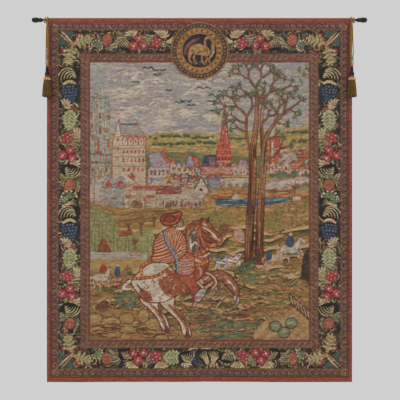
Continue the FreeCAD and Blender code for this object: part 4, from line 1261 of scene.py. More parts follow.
def trunk(path, widths, spot):
    """A tree trunk: a dark outline, then long streaks of bark from brown to tan."""
    line = smooth(at(path), steps=8)
    share = np.linspace(0, 1, len(line))
    wide = np.interp(share, np.linspace(0, 1, len(widths)), widths) * UNIT
    across = np.gradient(line, axis=0)
    across = np.stack([-across[:, 1], across[:, 0]], -1) / np.linalg.norm(across, axis=1)[:, None]
    for size, colours in ((1.16, "3c241e 46302a"), (0.94, "5c3c2e 684638 4c3226")):
        edge = across * (wide * size / 2)[:, None]
        fill(np.concatenate([line + edge, (line - edge)[::-1]]), colours, UPRIGHT)
    for _ in range(60):
        begin = spot.randrange(0, max(len(line) - 14, 1))
        end = min(begin + spot.randrange(6, 22), len(line) - 1)
        shift = spot.uniform(-0.42, 0.42)
        streak = line[begin:end + 1:3] + across[begin:end + 1:3] * (wide[begin:end + 1:3] * shift)[:, None]
        if len(streak) > 2:
            stroke(streak, float(wide[begin]) * 0.14,
                   spot.choice(["9c7050", "7c4230", "33221e", "8a6240", "4c322a", "ad875c"]))


def tall_trees():
    """Two tall trunks before the river, with open crowns of grey-green leaves."""
    spot = random.Random(77)
    for path, widths in (
        ([(73.9, 45), (72.2, 37), (71.3, 31), (71.6, 24.6)], (1.8, 1.3, 1.1)),
        ([(79.4, 45), (78.6, 35), (78.3, 27), (79, 20), (82.4, 12.6)], (1.9, 1.6, 1.3, 0.8)),
        ([(77.3, 92.6), (77.3, 84), (77.7, 72), (78.3, 60), (79.2, 48), (79.9, 38), (80.8, 33.4),
          (84.4, 28.1), (88.3, 23.7), (94, 19.4)],
         (4, 3.5, 3.2, 2.9, 2.5, 2.1, 1.9, 1.6, 1.2, 0.8)),
        ([(72.6, 92.2), (72.7, 84), (73.2, 72), (74, 60), (74.4, 48), (74.4, 40), (75.4, 33), (76.2, 24),
          (76.3, 16), (75.8, 11)],
         (4.2, 3.6, 3.4, 3.2, 3.1, 2.8, 2.3, 1.9, 1.5, 1.1)),
    ):
        trunk(path, widths, spot)
    for x, y, heading, reach, width, depth in (
        (71.6, 24.8, 128, 6.4, 1, 3), (71.6, 25.2, 62, 5.4, 1, 2), (71.4, 28, 160, 4.6, 0.8, 2),
        (71.2, 32, 150, 4.2, 0.7, 1),
        (75.9, 12, 128, 5.4, 1, 3), (75.9, 11.6, 66, 4.8, 0.9, 3), (76.2, 20, 52, 5, 1, 2),
        (76.2, 16, 150, 4.4, 0.8, 2),
        (82.4, 12.8, 10, 5.2, 0.8, 2), (82.2, 13.2, 70, 4.4, 0.8, 2), (79.2, 19.4, 110, 3.8, 0.8, 1),
        (78.4, 28, 40, 4, 0.8, 2),
        (84.4, 28, 76, 5.4, 0.9, 2), (88.4, 23.6, 80, 4.6, 0.8, 2), (94, 19.4, 40, 2.4, 0.7, 1),
        (91, 21.6, -20, 2.6, 0.6, 1),
        (80.4, 36, 30, 4.2, 0.9, 1), (84.8, 27.4, -10, 3, 0.6, 1), (80.6, 45, 32, 8, 1, 1),
    ):
        branch(x, y, heading, reach, width, spot, depth)
    for x, y in ((96, 3), (98.2, 5.6), (96.8, 8.6), (99.2, 2.2)):
        leaf_cluster(x, y, 1, spot, 200)
    brush([(101, 6), (98.6, 5.2), (96.4, 2.6)], 0.6, "84503a")


def shrubs():
    """Saplings on the right-hand slope and a fern under the trees."""
    spot = random.Random(90)
    for x, foot, high in ((85, 73.4, 7), (87.5, 71.8, 6), (90.8, 69.6, 6.5), (94.2, 71, 6), (97.6, 68.6, 5.5),
                          (88.2, 77.4, 5), (92.2, 75.8, 5)):
        brush([(x, foot), (x + 0.6, foot - high)], 0.42, "7a5a3e 6c6a44")
        for _ in range(7):
            y = foot - spot.uniform(0.25, 1) * high
            brush([(x + 0.3, y), (x + 0.3 + spot.uniform(-1.4, 1.4), y - 0.9)], 0.55,
                  spot.choice(["5e8060", "7b9668", "4f7258"]))
    for x, foot, high, spread in ((60.4, 78.6, 6.4, 3.2), (93.4, 60, 6, 4), (86.6, 84, 5, 3.4),
                                  (57.8, 75, 0.1, 0.1)):
        bare_tree(x, foot, high, spread)
    for i in range(7):
        x, y = 71.5 - i * 0.95, 90.8 + i * 0.75
        brush([(x, y), (x + 0.9, y + 2.6)], 0.9, "1f4634 2c5a40", 0.3)
    for x, y in strew(spot, 70, 67, 84, 90, 97):
        brush([(x, y), (x + spot.uniform(-2, 2), y - spot.uniform(-0.6, 0.8))], 0.6,
              spot.choice(["5f8552", "7a9660", "a5503c", "8f9a58", "b36a48"]))


def rocks():
    """Cobbles on the left, streaked turf and water plants on the right, along the foot."""
    spot = random.Random(60)
    area([(-1, 114), (12, 113), (24, 114.5), (36, 119), (44, 118), (44, 129), (-1, 129)],
         "a98a50 b59456 8f8a4e", MOTTLE)
    for x, y, wide, high in ((16.8, 117, 3.4, 2.3), (24.4, 115.8, 2.4, 2.9), (28.6, 119.6, 3.2, 2.5),
                             (21, 119.4, 1.8, 1.2),
                             (17.6, 122.2, 4, 1.7), (46.8, 116.8, 3.2, 2.4), (2.4, 117.5, 3.4, 2.8),
                             (9.4, 118.8, 4.4, 2.4),
                             (3.2, 122.6, 3.6, 1.8), (26.4, 124, 4, 1.6), (36.8, 123.6, 3.6, 3),
                             (10, 124.4, 4.2, 1.6),
                             (43.4, 121.4, 3.4, 2), (32.6, 126, 3, 1.4)):
        blob(x, y, wide + 0.35, "5c3026 4c2a24", high + 0.35)
        blob(x, y, wide, "c2a262 b5965a cdb070 a89a5c", high)
        brush([(x - wide * 0.6, y + high * 0.35), (x, y + high * 0.6), (x + wide * 0.6, y + high * 0.3)],
              0.5, "6f9068 7f9460")
        brush([(x - wide * 0.5, y - high * 0.4), (x + wide * 0.2, y - high * 0.6)], 0.4, "dcc48c")
    for x, y in strew(spot, 150, 44, 76, 114, 126):
        long = spot.uniform(3, 9)
        brush([(x, y), (x + long / 2, y - spot.uniform(-0.6, 0.8)), (x + long, y - spot.uniform(-0.3, 1.4))],
              0.62,
              spot.choice(["3f7468", "5c8a68", "7a4636", "b0724c", "4c6a54", "c89a62", "2f5a56", "8d9a5c"]))
    for x, y in strew(spot, 90, 0, 44, 119, 126):
        long = spot.uniform(2, 6)
        brush([(x, y), (x + long / 2, y - 0.4), (x + long, y)], 0.5,
              spot.choice(["5c3026", "5f8a5c", "c7a868", "7a4636"]))
    for x, y in ((62, 121), (58.6, 118), (66.8, 117.6)):
        brush([(x, 125.6), (x - 0.4, y), (x + 2.8, y - 1.4)], 0.55, "4f8a68 7fae80", 0.3)
    for x, y in strew(spot, 170, 70, 101, 96, 126):
        long = spot.uniform(1.5, 5)
        brush([(x, y), (x + long / 2, y - spot.uniform(0, 0.9)), (x + long, y + 0.3)], 0.5,
              spot.choice(["8a4a36", "c79a62", "7a8a52", "a5643f", "d3b47c", "6b5a3a"]))
    area([(76, 126.8), (78, 120), (83, 116.4), (90, 113.4), (96, 114), (101, 118), (101, 127)],
         "c4a466 b8955a cbb078", MOTTLE)
    for x, y in ((84.6, 120.6), (88.6, 123.4), (92, 119.2)):
        blob(x, y, 3, "2c4a40", 2.7)
        blob(x, y, 2.5, "7f9a74 95a882 6c8a68", 2.2)
        brush([(x - 1.4, y + 0.6), (x, y - 0.6), (x + 1.4, y + 0.5)], 0.5, "c4caa0")
    for i in range(8):
        x = 84 + i * 0.9
        brush([(x, 117), (x - 1.8, 113.4), (x - 6 + i * 0.9, 114.6 + i * 0.5)], 0.5, "8a6a44 c4a870", 0.2)
    for i in range(6):
        x, y = 91 + i * 1.5, 106 + i * 1.3
        area([(x, y), (x + 1.4, y + 1), (x + 3.4, y + 6.2), (x + 1.2, y + 4.6)], "d8c4a0 b89a7c", HATCH,
             True, "3c2a24", 0.5)
    area([(97.6, 88), (101, 86), (101, 102), (98.6, 99.6), (96.4, 98)], "2c2c28 3c3a30")
    for x, y in strew(spot, 60, -0.5, 16, 101, 116):
        brush([(x, y), (x + spot.uniform(-2, 2), y + spot.uniform(-2, 1))], 0.62,
              spot.choice(["5f7a50", "8a4a38", "b3402f", "7a8a56", "4a5a40", "c79a62"]))
    blob(5.6, 111.8, 3, "6b4a38 7c5a44", 2.4)
    for k in range(26):
        a = math.radians(k * 360 / 26)
        cx, cy = 16.6, 108.8
        brush([(cx + 1.4 * math.cos(a), cy + 1.1 * math.sin(a)),
               (cx + 5.4 * math.cos(a + 0.2), cy + 4 * math.sin(a + 0.2))],
              0.75, "4f7258 7f9668 365a46", 0.25)


def deepen():
    """The yarns of the water, the meadow and the foreground are dyed browner and darker."""
    levels = [0, 36, 46, 58, 64, 80, 110, 127]
    ys = ((np.arange(ROWS) + 0.5) * CELL - FIELD_TOP) / UNIT
    for channel, shares in enumerate(((1, 1, 0.95, 0.90, 0.83, 0.88, 0.80, 0.77),
                                      (1, 1, 0.94, 0.87, 0.80, 0.85, 0.76, 0.73),
                                      (1, 1, 0.93, 0.85, 0.77, 0.80, 0.74, 0.72))):
        cartoon[..., channel] *= np.interp(ys, levels, shares)[:, None].astype(np.float32)


def horse(x, y, size, coat, patch, facing=1, seed=1):
    """A galloping horse: body, neck, head, legs and tail, about 20 units long at size 1."""
    spot = random.Random(seed)

    def p(points):
        return [(x + a * size * facing, y + b * size) for a, b in points]

    edge = "5a3226"
    for leg in ([(-6.5, 2), (-9.6, 5.4), (-7.4, 9), (-9.2, 12.6)],
                [(-4.6, 3), (-4.6, 7), (-1.4, 10), (-2.2, 13.6)],
                [(5.4, 2), (8.6, 4.4), (7.4, 7.6), (9.4, 8.4)],
                [(6.4, 1), (10.4, 1.8), (11.4, 5.2), (13, 5.4)]):
        edged(brush, p(leg), (2.5 * size, edge), (1.7 * size, coat), 0.35)
    brush(p([(-9.4, -1.6), (-12.6, 0.6), (-13.4, 4.4), (-12, 7)]), 2.2 * size, coat, 0.2)
    area(p([(-10, -1.6), (-7, -4.6), (-1, -4.2), (4, -5), (7.6, -3), (7.4, 1.4), (3, 4.2), (-2, 3.8),
            (-6.4, 4.8), (-9.8, 2.4)]),
         coat, MOTTLE, True, edge, 0.55 * size)
    area(p([(3.6, -4.6), (7, -9.6), (9.6, -11.8), (11, -10.4), (10.4, -7.6), (8.6, -1.6), (5.4, 0.6)]),
         coat, MOTTLE, True, edge, 0.5 * size)
    area(p([(8.8, -11.8), (11, -11.6), (13.6, -9), (15.2, -7), (14.2, -6), (11.8, -7.2), (9.8, -8)]),
         coat, HATCH, True, edge, 0.45 * size)
    for ear in (8.8, 9.8):
        brush(p([(ear, -11.4), (ear + 0.1, -13.4)]), 0.8 * size, edge, 0.3)
    for _ in range(int(18 * size)):
        px, py = spot.uniform(-8, 7), spot.uniform(-3.4, 3)
        brush(p([(px, py), (px + spot.uniform(-2, 2), py + spot.uniform(-1, 1))]), 0.9 * size, patch, 0.2)


def rider():
    """A huntsman in a wide hat and a striped cloak on a rearing horse, seen from behind."""
    coat = "d8c8aa c9b694 e0d2b4 b8a68a"
    chestnut = "8a4a34 74402e 9a5a3e 6a3626"
    edge = "4c2820"
    # Hind legs, tail, quarters and belly.
    for leg in ([(23.2, 103), (23, 109), (27, 112.8), (30.4, 116.8), (32.6, 121.4), (35, 123.4),
                 (36.4, 121.4),
                 (34.6, 116.4), (31.2, 112.2), (31, 106)],
                [(30.6, 105), (32.4, 110.8), (37, 115), (40.8, 119.2), (42.2, 123.8), (44.4, 126.2),
                 (46.2, 124.8),
                 (45, 119.4), (41.8, 115), (38.4, 110.8), (39, 104)]):
        area(leg, coat, MOTTLE, True, edge, 0.6)
        inner = [((a + c) / 2 + 0.5, (b + d) / 2) for (a, b), (c, d) in zip(leg[1:5], leg[::-1][1:5])]
        brush(inner, 2, "94583e 7f4430 b07a58", 0.4)
        brush([(a + 0.6, b) for a, b in inner], 0.6, "3c2420", 0.3)
    edged(brush, [(25.2, 96), (20.6, 98.8), (16.2, 101.6), (15.4, 103.4), (18.6, 103.6)], (2.4, edge),
          (1.5, "dfd2b2 b08468"), 0.4)
    area([(18.8, 100.2), (23.3, 95), (27, 92.2), (31.8, 91), (36, 92.4), (39.2, 95.6), (45.9, 96),
          (48.7, 100.6),
          (46.4, 104.5), (40, 106.4), (34, 109.4), (26, 109.6), (22.4, 106.2)], coat, MOTTLE, True, edge, 0.6)
    for patch in ([(34.6, 95.4), (38.8, 95.6), (45.8, 96.4), (48.4, 100.6), (46.2, 104.3), (40, 106),
                   (36.4, 102.2)],
                  [(31, 99.6), (36.4, 98), (40, 104.8), (37.2, 107.4), (33.6, 105.4)],
                  [(23.2, 103.2), (26.6, 105), (28.6, 108.8), (25.4, 109.2), (22.6, 106.2)]):
        area(patch, chestnut, HATCH)
    quarters = random.Random(17)
    for x, y in strew(quarters, 80, 24, 46, 94, 109):
        brush([(x, y), (x + quarters.uniform(-2, 2.4), y + quarters.uniform(0.4, 2))], 0.42,
              quarters.choice(["b07a58", "6a3828", "d8c29a", "945a40", "c9a884"]))
    brush([(21.2, 101), (22.8, 103.4), (24.8, 105.2)], 0.9, "1f3040", 0.3)
    # Neck, head and forelegs in chestnut, with a dark mane and pale streaks.
    for hoof in ([(34.8, 120.8), (35.4, 123.2), (34.6, 121.6)], [(44.2, 123.2), (45, 125.6), (43.8, 124.6)]):
        brush(hoof, 2, "3c2a26 54403a", 0.6)
    for leg in ([(47.6, 99.6), (51.4, 103.4), (50.2, 107.6), (47.4, 110.4)],
                [(50.4, 95.6), (55.4, 97.4), (57.4, 101), (55, 104.2)],
                [(46, 103), (48, 108.8), (47, 112)]):
        edged(brush, leg, (2.5, edge), (1.6, chestnut), 0.4)
        brush([(a + 0.3, b) for a, b in leg], 0.5, "d9c9a4", 0.3)
    area([(42.4, 96), (43.6, 84), (44, 75.6), (48.4, 72.6), (52.4, 71.6), (55.4, 74.6), (55.8, 79),
          (55, 83.6), (53.8, 87),
          (54.2, 92), (52.2, 96.8), (49.6, 99.4), (45.8, 99.4)], chestnut, UPRIGHT, True, edge, 0.6)
    area([(50.4, 72.4), (54.4, 73.2), (57.2, 76.6), (60, 79.8), (60.2, 82), (58.4, 83), (55.4, 81.8),
          (51.6, 80)],
         chestnut, HATCH, True, edge, 0.5)
    for streak, wide, tone in (
        ([(51.6, 75.4), (55, 77.4), (58.2, 80.6)], 0.8, "e0d0ac"),
        ([(53.2, 79.8), (56, 81.2), (58.6, 82)], 0.6, "3a2020"),
        ([(52.6, 76.6), (56, 79.2)], 0.5, "2c1c1c"),
        ([(50.2, 75.6), (50.6, 80), (52.4, 83.4)], 0.8, "b4583c"),
        ([(44.8, 77.4), (47.6, 76.8), (48.8, 75.6)], 0.9, "e0d4b6"),
        ([(44.6, 80), (46.2, 83), (46.8, 87)], 1.6, "ded2b4 8c9a94"),
        ([(47.4, 79), (47, 83), (48.4, 87.4)], 1.3, "3c3834 22282c"),
        ([(49.4, 82.4), (50.2, 86)], 1, "2c2a2a 6a5a50"),
        ([(45.4, 90), (48.6, 90.4), (50.6, 91.4)], 1, "dfd0ac"),
        ([(49, 93), (50.6, 95.2), (50.2, 98)], 0.9, "b98a64"),
        ([(52.6, 89.4), (53, 93.2), (51.4, 96.8)], 0.7, "5a2c22"),
    ):
        brush(streak, wide, tone, 0.2)
    area([(45, 78), (47.4, 75.8), (49, 77.6), (49.4, 82), (48.6, 86.8), (46.4, 87.4), (45, 83.4)],
         "5a4034 5c5648 4a3a30", UPRIGHT, True, "9a7a5c", 0.35)
    for fold in ([(45.4, 79.6), (46, 83), (46.2, 86.4)], [(46.4, 84), (47.8, 82.2), (48.8, 83.2)],
                 [(46.8, 78.2), (48.2, 77.6)]):
        brush(fold, 0.8, "ded2b4 b8a48a", 0.3)
    for shade in ([(51.8, 81), (54.4, 82.4), (57.6, 82.2)], [(50.6, 76.4), (52.6, 78.4), (54.8, 79)],
                  [(50, 79.6), (51, 84), (53.6, 86)]):
        brush(shade, 0.9, "4c2420 5c2c24", 0.3)
    for light in ([(55.6, 79.2), (57.4, 80.4), (59.4, 81.4)], [(51.8, 73.8), (53.4, 74.6)],
                  [(49.4, 88.6), (52, 88.8), (54.8, 87)]):
        brush(light, 0.6, "e6d8b8 c98f6c", 0.3)
    for x in (50.4, 52, 53.6):
        brush([(x, 73.6), (x + 0.7, 70.6)], 0.95, "33221e" if x != 52 else "8a4a34", 0.3)
    for x in (43.4, 44.8, 46.2, 47.6, 49):
        brush([(x, 76.6 - (x - 43) * 0.55), (x + 1.6, 74.4 - (x - 43) * 0.4)], 1, "5c2e22 8a4430", 0.3)
    # Harness of beaded orange straps.
    for strap in ([(18.6, 99), (24, 98.6), (30.4, 97.6), (36, 94)],
                  [(23.6, 97.6), (23.6, 93.6), (27, 91.4), (31.4, 90.6)],
                  [(44.8, 88.2), (50, 87.6), (55.4, 84)], [(46.2, 92.6), (50, 92.6), (53.6, 91)]):
        brush(strap, 1.7, "6a3222 8a4a2c", 0.8)
        dots = smooth(at(strap))
        for a in dots[::2]:
            disc(a[0], a[1], 0.46 * UNIT, "cf9258 b8703e")
    # Breeches, boot and the skirt of the coat.
    area([(38.4, 96.6), (43, 95.4), (46.6, 96), (49, 101.6), (50.2, 105.6), (48, 107), (45.4, 103.4),
          (42, 100.4)],
         "94432f 7f3a2a a5523a", UPRIGHT, True, edge, 0.4)
    area([(47.6, 107.2), (50.4, 103.8), (53.2, 104.4), (51.6, 107.6), (49, 110)], "5f7c98 a8503c d0b890",
         HATCH, True, "22303c", 0.45)
    area([(38.6, 88.6), (46.4, 87.4), (48, 93), (46.8, 96.6), (40.6, 97.2)], "94483a b5684c 7f3a30", HATCH,
         True, edge, 0.4)
    for i in range(6):
        brush([(39.2 + i * 0.3, 89.8 + i * 1.25), (43.2, 90.6 + i * 1.25),
               (47.6 - i * 0.2, 89.6 + i * 1.25)], 0.42,
              "6a8aa4" if i % 2 else "d0aa84", 0.6)
    # Cloak: a rounded back with stripes that spread to its edge.
    cx, cy = 37.4, 88
    cloak = [(34.2, 76.6), (37.4, 75.2), (40.6, 76), (43.2, 79.4), (44.2, 83.4), (43.6, 87.4), (41, 89.6),
             (39, 91.2), (33.6, 91.6),
             (28.4, 90.8), (28.8, 86.6), (29.2, 82.4), (31.2, 78.8)]
    area(cloak, "ab5a3c 9c4c34 ba6a46", UPRIGHT, True, edge, 0.6)
    rim = smooth(np.array(cloak), closed=True, steps=6)
    sash = [(33.4, 77), (34.8, 82), (37.2, 86.4), (39.4, 90.6), (39.6, 96)]
    for i, (x, y) in enumerate(rim):
        across = np.interp(y, [v for u, v in sash], [u for u, v in sash])
        if x > across:
            near = 0.30 if i % 3 == 0 else 0.52
            start, lift = (cx + (x - cx) * near, cy + (y - cy) * near), 0.5
        else:
            start, lift = (np.interp(y - 2.4, [v for u, v in sash], [u for u, v in sash]), y - 2.4), -0.5
        brush([start, ((start[0] + x) / 2, (start[1] + y) / 2 - lift),
               (x - 0.03 * (x - cx), y - 0.03 * (y - cy))],
              0.44, "5e241d 6f2c22" if i % 2 else "dcb084 cf9c70", 0.3)
    for path, wide in (([(33.4, 77), (34.8, 82), (37.2, 86.4), (39.4, 90.6), (39.6, 96)], 1.25),
                       ([(34.8, 84), (37.6, 84.6), (40.2, 87.2)], 0.7)):
        brush(path, wide, "24405f 1c3350", 0.7)
        brush([(a + 0.25, b) for a, b in path], wide * 0.36, "93a8b4", 0.5)
    # Head turned away: hair over a ruff, in the shade of the wide hat.
    area([(39.6, 71.4), (41.4, 70.6), (42.6, 72.6), (42.8, 74.6), (41.4, 75.8), (39.6, 74.8)],
         "7c6448 5c4636 96805e", UPRIGHT, True, "4c3226", 0.3)
    brush([(39.6, 75.6), (41.4, 76.2), (43.2, 75)], 0.9, "e0d6b8 b8b094", 0.5)
    area([(32.2, 72.6), (32.6, 70.4), (35, 69.2), (38.4, 68.8), (40.8, 68), (42, 69.4), (41.2, 71.2),
          (40.2, 73.2), (37.4, 74.6), (34.2, 74.6)],
         "7a342a 883c2e 682a22", HATCH, True, "3a1a16", 0.5)
    brush([(33.6, 72.4), (34.6, 70.8), (37.4, 70.2), (39, 71.4), (38, 72.8), (35.6, 73.2)], 0.6,
          "441a16 54221c", 0.4)
    brush([(34, 73.6), (36.6, 73.9), (39.6, 72.6), (40.6, 70.4)], 0.45, "b8624a", 0.4)
    brush([(37.6, 69.8), (39.6, 69.4), (41.2, 68.8)], 0.5, "c07858", 0.3)


def hounds():
    """A running hound before the horse, two more by the trees and small riders further off."""
    edge, tan = "3c2420", "7c4c3c 8f5c48 6a3e32"
    for leg in ([(52, 98), (50.2, 101.6), (51.4, 104.6)], [(57, 100), (58.2, 105), (57.4, 107.8)],
                [(66.4, 104), (67.6, 107.6), (67.2, 110.4)], [(63, 102.4), (66, 106), (66.2, 109.6)],
                [(55.4, 100.2), (57.6, 103.2), (59, 106)]):
        edged(brush, leg, (1.9, edge), (1.2, "b09a88 6f7688 7a4a40"), 0.4)
    area([(49.6, 101.2), (51, 98.2), (55, 95.8), (60, 95.2), (64.6, 98), (68.2, 103.4), (67.4, 106.6),
          (64.2, 104.6),
          (60.4, 100.4), (56, 99.8), (52.4, 101.6)], tan, HATCH, True, edge, 0.55)
    for path, wide, tone in (([(51.6, 99.8), (54.6, 98), (58.6, 97.2)], 0.9, "e2d0ac c9a888"),
                             ([(54, 99.2), (57.4, 98.8)], 0.5, "c98f6c"),
                             ([(62.6, 99.4), (65.2, 102.4), (66.6, 104.6)], 1.2, "d9c8aa b8937c"),
                             ([(61, 97.6), (63.4, 98.8)], 0.5, "c98f6c"),
                             ([(64, 101), (65.4, 103.6)], 0.6, "8a3a30")):
        brush(path, wide, tone, 0.2)
    for path in ([(57, 99.6), (58.4, 103.4), (57.8, 107.6)], [(66.6, 104.6), (67.2, 108.8)],
                 [(51.4, 99.6), (50.4, 101.8)]):
        brush(path, 0.8, "5c3a34 6a5c68", 0.3)
    area([(47.6, 101.4), (49, 99.2), (51.2, 99), (51.8, 101.4), (49.6, 103)], "d2bfa0 b08c6a", HATCH, True,
         edge, 0.4)
    for i in range(9):
        x, y = 67 + i * 0.95, 95.4 - i * 0.42
        for long in (-2.4, 2.4):
            brush([(x, y), (x + 0.9, y - 0.55 * long), (x + 1.4, y - long)], 0.75, "22402f 365a44 2c4a3a",
                  0.2)
    for i in range(7):
        x, y = 69.6 + i * 0.9, 99.6 - i * 0.3
        brush([(x, y + 1.4), (x + 1, y - 0.2), (x + 0.6, y - 1.5)], 0.7, "4c7050 2f5040", 0.2)
    for turn in range(-3, 4):
        x = 61.8 + turn * 1.15
        brush([(61.8, 79.6), (61.8 + turn * 0.5, 76.6), (x, 73.4 + abs(turn) * 0.9)], 0.55, "5c3a2c 6f4a34",
              0.3)
    area([(65.6, 78.8), (66.2, 76.8), (69, 76.4), (70.4, 78.2), (70.6, 81), (69.2, 81.8), (66.6, 81)],
         "b08074 9a7468 a88c80",
         HATCH, True, "8a5048", 0.35)
    block(67, 79.4, 68.2, 82.2, "c88a48 a8643c")
    for x, y, coat, patch in ((60.6, 90.6, "c9bda6 8f95a0", "26303c"),
                              (65.8, 89.8, "d8cbb0 c4a890", "8a4436")):
        for leg in (-2.2, -1.2, 1.4, 2.3):
            brush([(x + leg, y + 0.6), (x + leg * 1.3 - 0.4, y + 3.4)], 0.8, coat, 0.4)
        area([(x - 3, y + 1.2), (x - 2.2, y - 1), (x + 0.4, y - 1.2), (x + 2.2, y - 2.6), (x + 3.8, y - 2),
              (x + 2.6, y + 0.2),
              (x + 1, y + 1.8)], coat, HATCH, True, "1f2630", 0.35)
        for px, py, long in ((-2.2, -0.2, 1.4), (-0.2, 0.4, 1.8), (1.8, -1.6, 1), (-1, -0.9, 1.2)):
            brush([(x + px, y + py), (x + px + long, y + py + 0.3)], 0.8, patch, 0.4)
        brush([(x - 2.9, y + 0.2), (x - 4.2, y - 1.6)], 0.5, coat, 0.3)
    horse(91.6, 85.4, 0.46, "bfb096 a5947c", "a08a74", 1, 4)
    area([(89.4, 83.2), (90.8, 79.4), (92.4, 79.2), (92.8, 82), (92.2, 84.4)], "2c4460 243a50", HATCH, True,
         "22303c")
    blob(91.7, 78.6, 0.8, "c99a74")
    horse(83.4, 89.6, 0.34, "c7a890 b08c74", "8a5a44", 1, 6)
    area([(80.6, 90.4), (81.2, 86.8), (82.6, 86.4), (82.8, 89.6)], "2c4460", HATCH, True, "22303c")
    horse(5.2, 98.4, 0.40, "b8a888 a08e6c", "8f7a60", 1, 9)
    area([(4.4, 95.4), (5.6, 92.6), (7.4, 93.6), (6.8, 96.4)], "96382e 7a2c26", HATCH, True, LINE)
    horse(13.8, 97.2, 0.34, "7a5a44 8a6a50", "5c4034", 1, 10)
    area([(11.6, 97.6), (11.9, 93.6), (13.2, 93.4), (13.4, 97.2)], "28435a", HATCH, True, "1c2c3a")
    blob(12.6, 92.6, 0.7, "c99a74")


def medallion():
    """A round badge over the top border: gilt rings, a beaded band and a curled beast on dark blue."""
    x, y = WIDE / 2 + 0.5, 146
    for radius, colours in ((128, "362b22"), (126, "907240 7e6337"), (121.5, "392e29 2e2425 423932"),
                            (101.5, "856737"),
                            (98, "806132 6f512e"), (79, "977744 876737"), (74.5, "121a20 152027 17192e")):
        disc_fine(x, y, radius, colours)
    for i in range(46):
        a = math.radians(i * 360 / 46)
        px, py = x + 111 * math.cos(a), y + 111 * math.sin(a)
        disc(px, py, 5.8, ("7c6448 685642", "523434 443d48", "635f40 515840")[i % 3], 3.6,
             math.degrees(a) + 35)
        disc(px, py, 1.9, "a2875f")
    for i in range(24):
        a = math.radians(i * 360 / 24)
        px, py = x + 88.5 * math.cos(a), y + 88.5 * math.sin(a)
        disc(px, py, 4.6, "ac8148 976f39", 9.5, math.degrees(a) - 18)
        disc(x + 88.5 * math.cos(a + 0.13), y + 88.5 * math.sin(a + 0.13), 3.4, "422b2b 362432", 6,
             math.degrees(a) + 20)
    pen = Pen(x, y)
    gold, edge = "987542 a58351 876437", "3f2b25"
    pen.line([(-64, 12), (-58, -14), (-41, -32), (-25, -44), (-4, -52)], 15, "6d423d 5f3636 764942", 0.5)
    pen.line([(-60, 24), (-52, -8), (-30, -28), (-8, -40)], 5, "512b2e", 0.3)
    for legs in ([(-46, 14), (-46, 36), (-34, 56)], [(-20, 14), (-26, 34), (-14, 52)],
                 [(12, 18), (10, 40), (18, 58)],
                 [(30, 20), (32, 38), (24, 54)], [(46, 26), (40, 44), (48, 54)]):
        edged(pen.line, legs, (11, edge), (7, gold), 0.5)
    pen.shape([(-52, 27), (-50, 8), (-44, -12), (-29, -25), (-3, -32), (20, -24), (38, -14), (47, 3),
               (43, 19), (26, 26), (3, 20),
               (-17, 18), (-33, 16), (-40, 34)], gold, edge, 3)
    neck = [(26, -20), (23, -42), (34, -57), (50, -54), (59, -38), (61, -14), (58, 8), (46, 24)]
    edged(pen.line, neck, (15, edge), (10.5, "9b7a49 8a683f 906d51"), 0.6)
    pen.line([(34, -46), (42, -50), (46, -42), (38, -34)], 4, "422b2e", 0.5)
    for bend, tone in (([(-36, -8), (-26, 4), (-30, 18)], edge), ([(-12, -20), (0, -2), (-6, 14)], "6f4d2e"),
                       ([(-10, 2), (-4, 8), (2, 2)], "422b2e"),
                       ([(10, -18), (24, -2), (18, 16)], "6f4d2e"),
                       ([(-2, -24), (10, -14), (12, 2)], "b8965a"), ([(28, -10), (36, 4), (30, 16)], edge),
                       ([(-44, 4), (-38, -8), (-28, -14)], "b8965a"),
                       ([(52, -30), (54, -10), (50, 8)], "b4935d"),
                       ([(0, 10), (14, 14), (28, 10)], "ac884f")):
        pen.line(bend, 3.4, tone, 0.3)
    turf = random.Random(8)
    for _ in range(46):
        tx, ty = turf.uniform(-46, 46), turf.uniform(44, 68)
        if math.hypot(tx, ty) < 70:
            pen.line([(tx, ty), (tx + turf.uniform(-9, 9), ty + turf.uniform(-5, 5))], 3.4,
                     turf.choice(["7c5236", "2d221b", "9e7c48", "423d2e", "6d3d32", "555f3d"]), 0.4)
    pen.line([(65, 2), (54, 24), (43, 32)], 3.4, "b4b09e", 0.3)


def disc_fine(x, y, radius, colours):
    angle = np.linspace(0, 2 * math.pi, 90, endpoint=False)
    fill(np.stack([x + radius * np.cos(angle), y + radius * np.sin(angle)], -1), colours)


def draw_cartoon():
    """The whole picture, from the far distance to the border laid over its edges."""
    fill([(0, 0), (WIDE, 0), (WIDE, HIGH), (0, HIGH)], "783d2f 7c4131 743a29 7b4032")
    sky()
    for x, y, size, lift in ((26.4, 3.0, 0.9, 1), (31.6, 3.2, 1.1, -0.5), (30.9, 6.0, 0.7, 1),
                             (43.7, 17.0, 1.0, -1), (40.9, 18.8, 0.9, 1),
                             (46.2, 20.0, 0.7, 1), (51.7, 12.2, 1.1, 1), (57.5, 15.8, 1.3, 1),
                             (55.6, 17.9, 0.8, 0.2), (60.2, 13.6, 0.6, 1),
                             (21.0, 9.4, 0.6, 1), (56.4, 22.4, 0.6, 1), (36.0, 13.0, 0.5, 1)):
        bird(x, y, size, lift)
    for part in (hills, church, mansion, town, walls, far_bank, river, meadow, copse, shrubs, rocks,
                 tall_trees, deepen, hounds, rider):
        part()
    flower_border()
    guilloche()
    guard()
    band(rectangle("inner_line"), rectangle("field"), "70222e 661e2a")
    whole = (0, 0, WIDE, HIGH)
    band(whole, rectangle("line"), "783d2f 7c4131 743a29 7b4032")
    band(rectangle("line"), rectangle("guilloche"), "50202a 481c28")
    medallion()


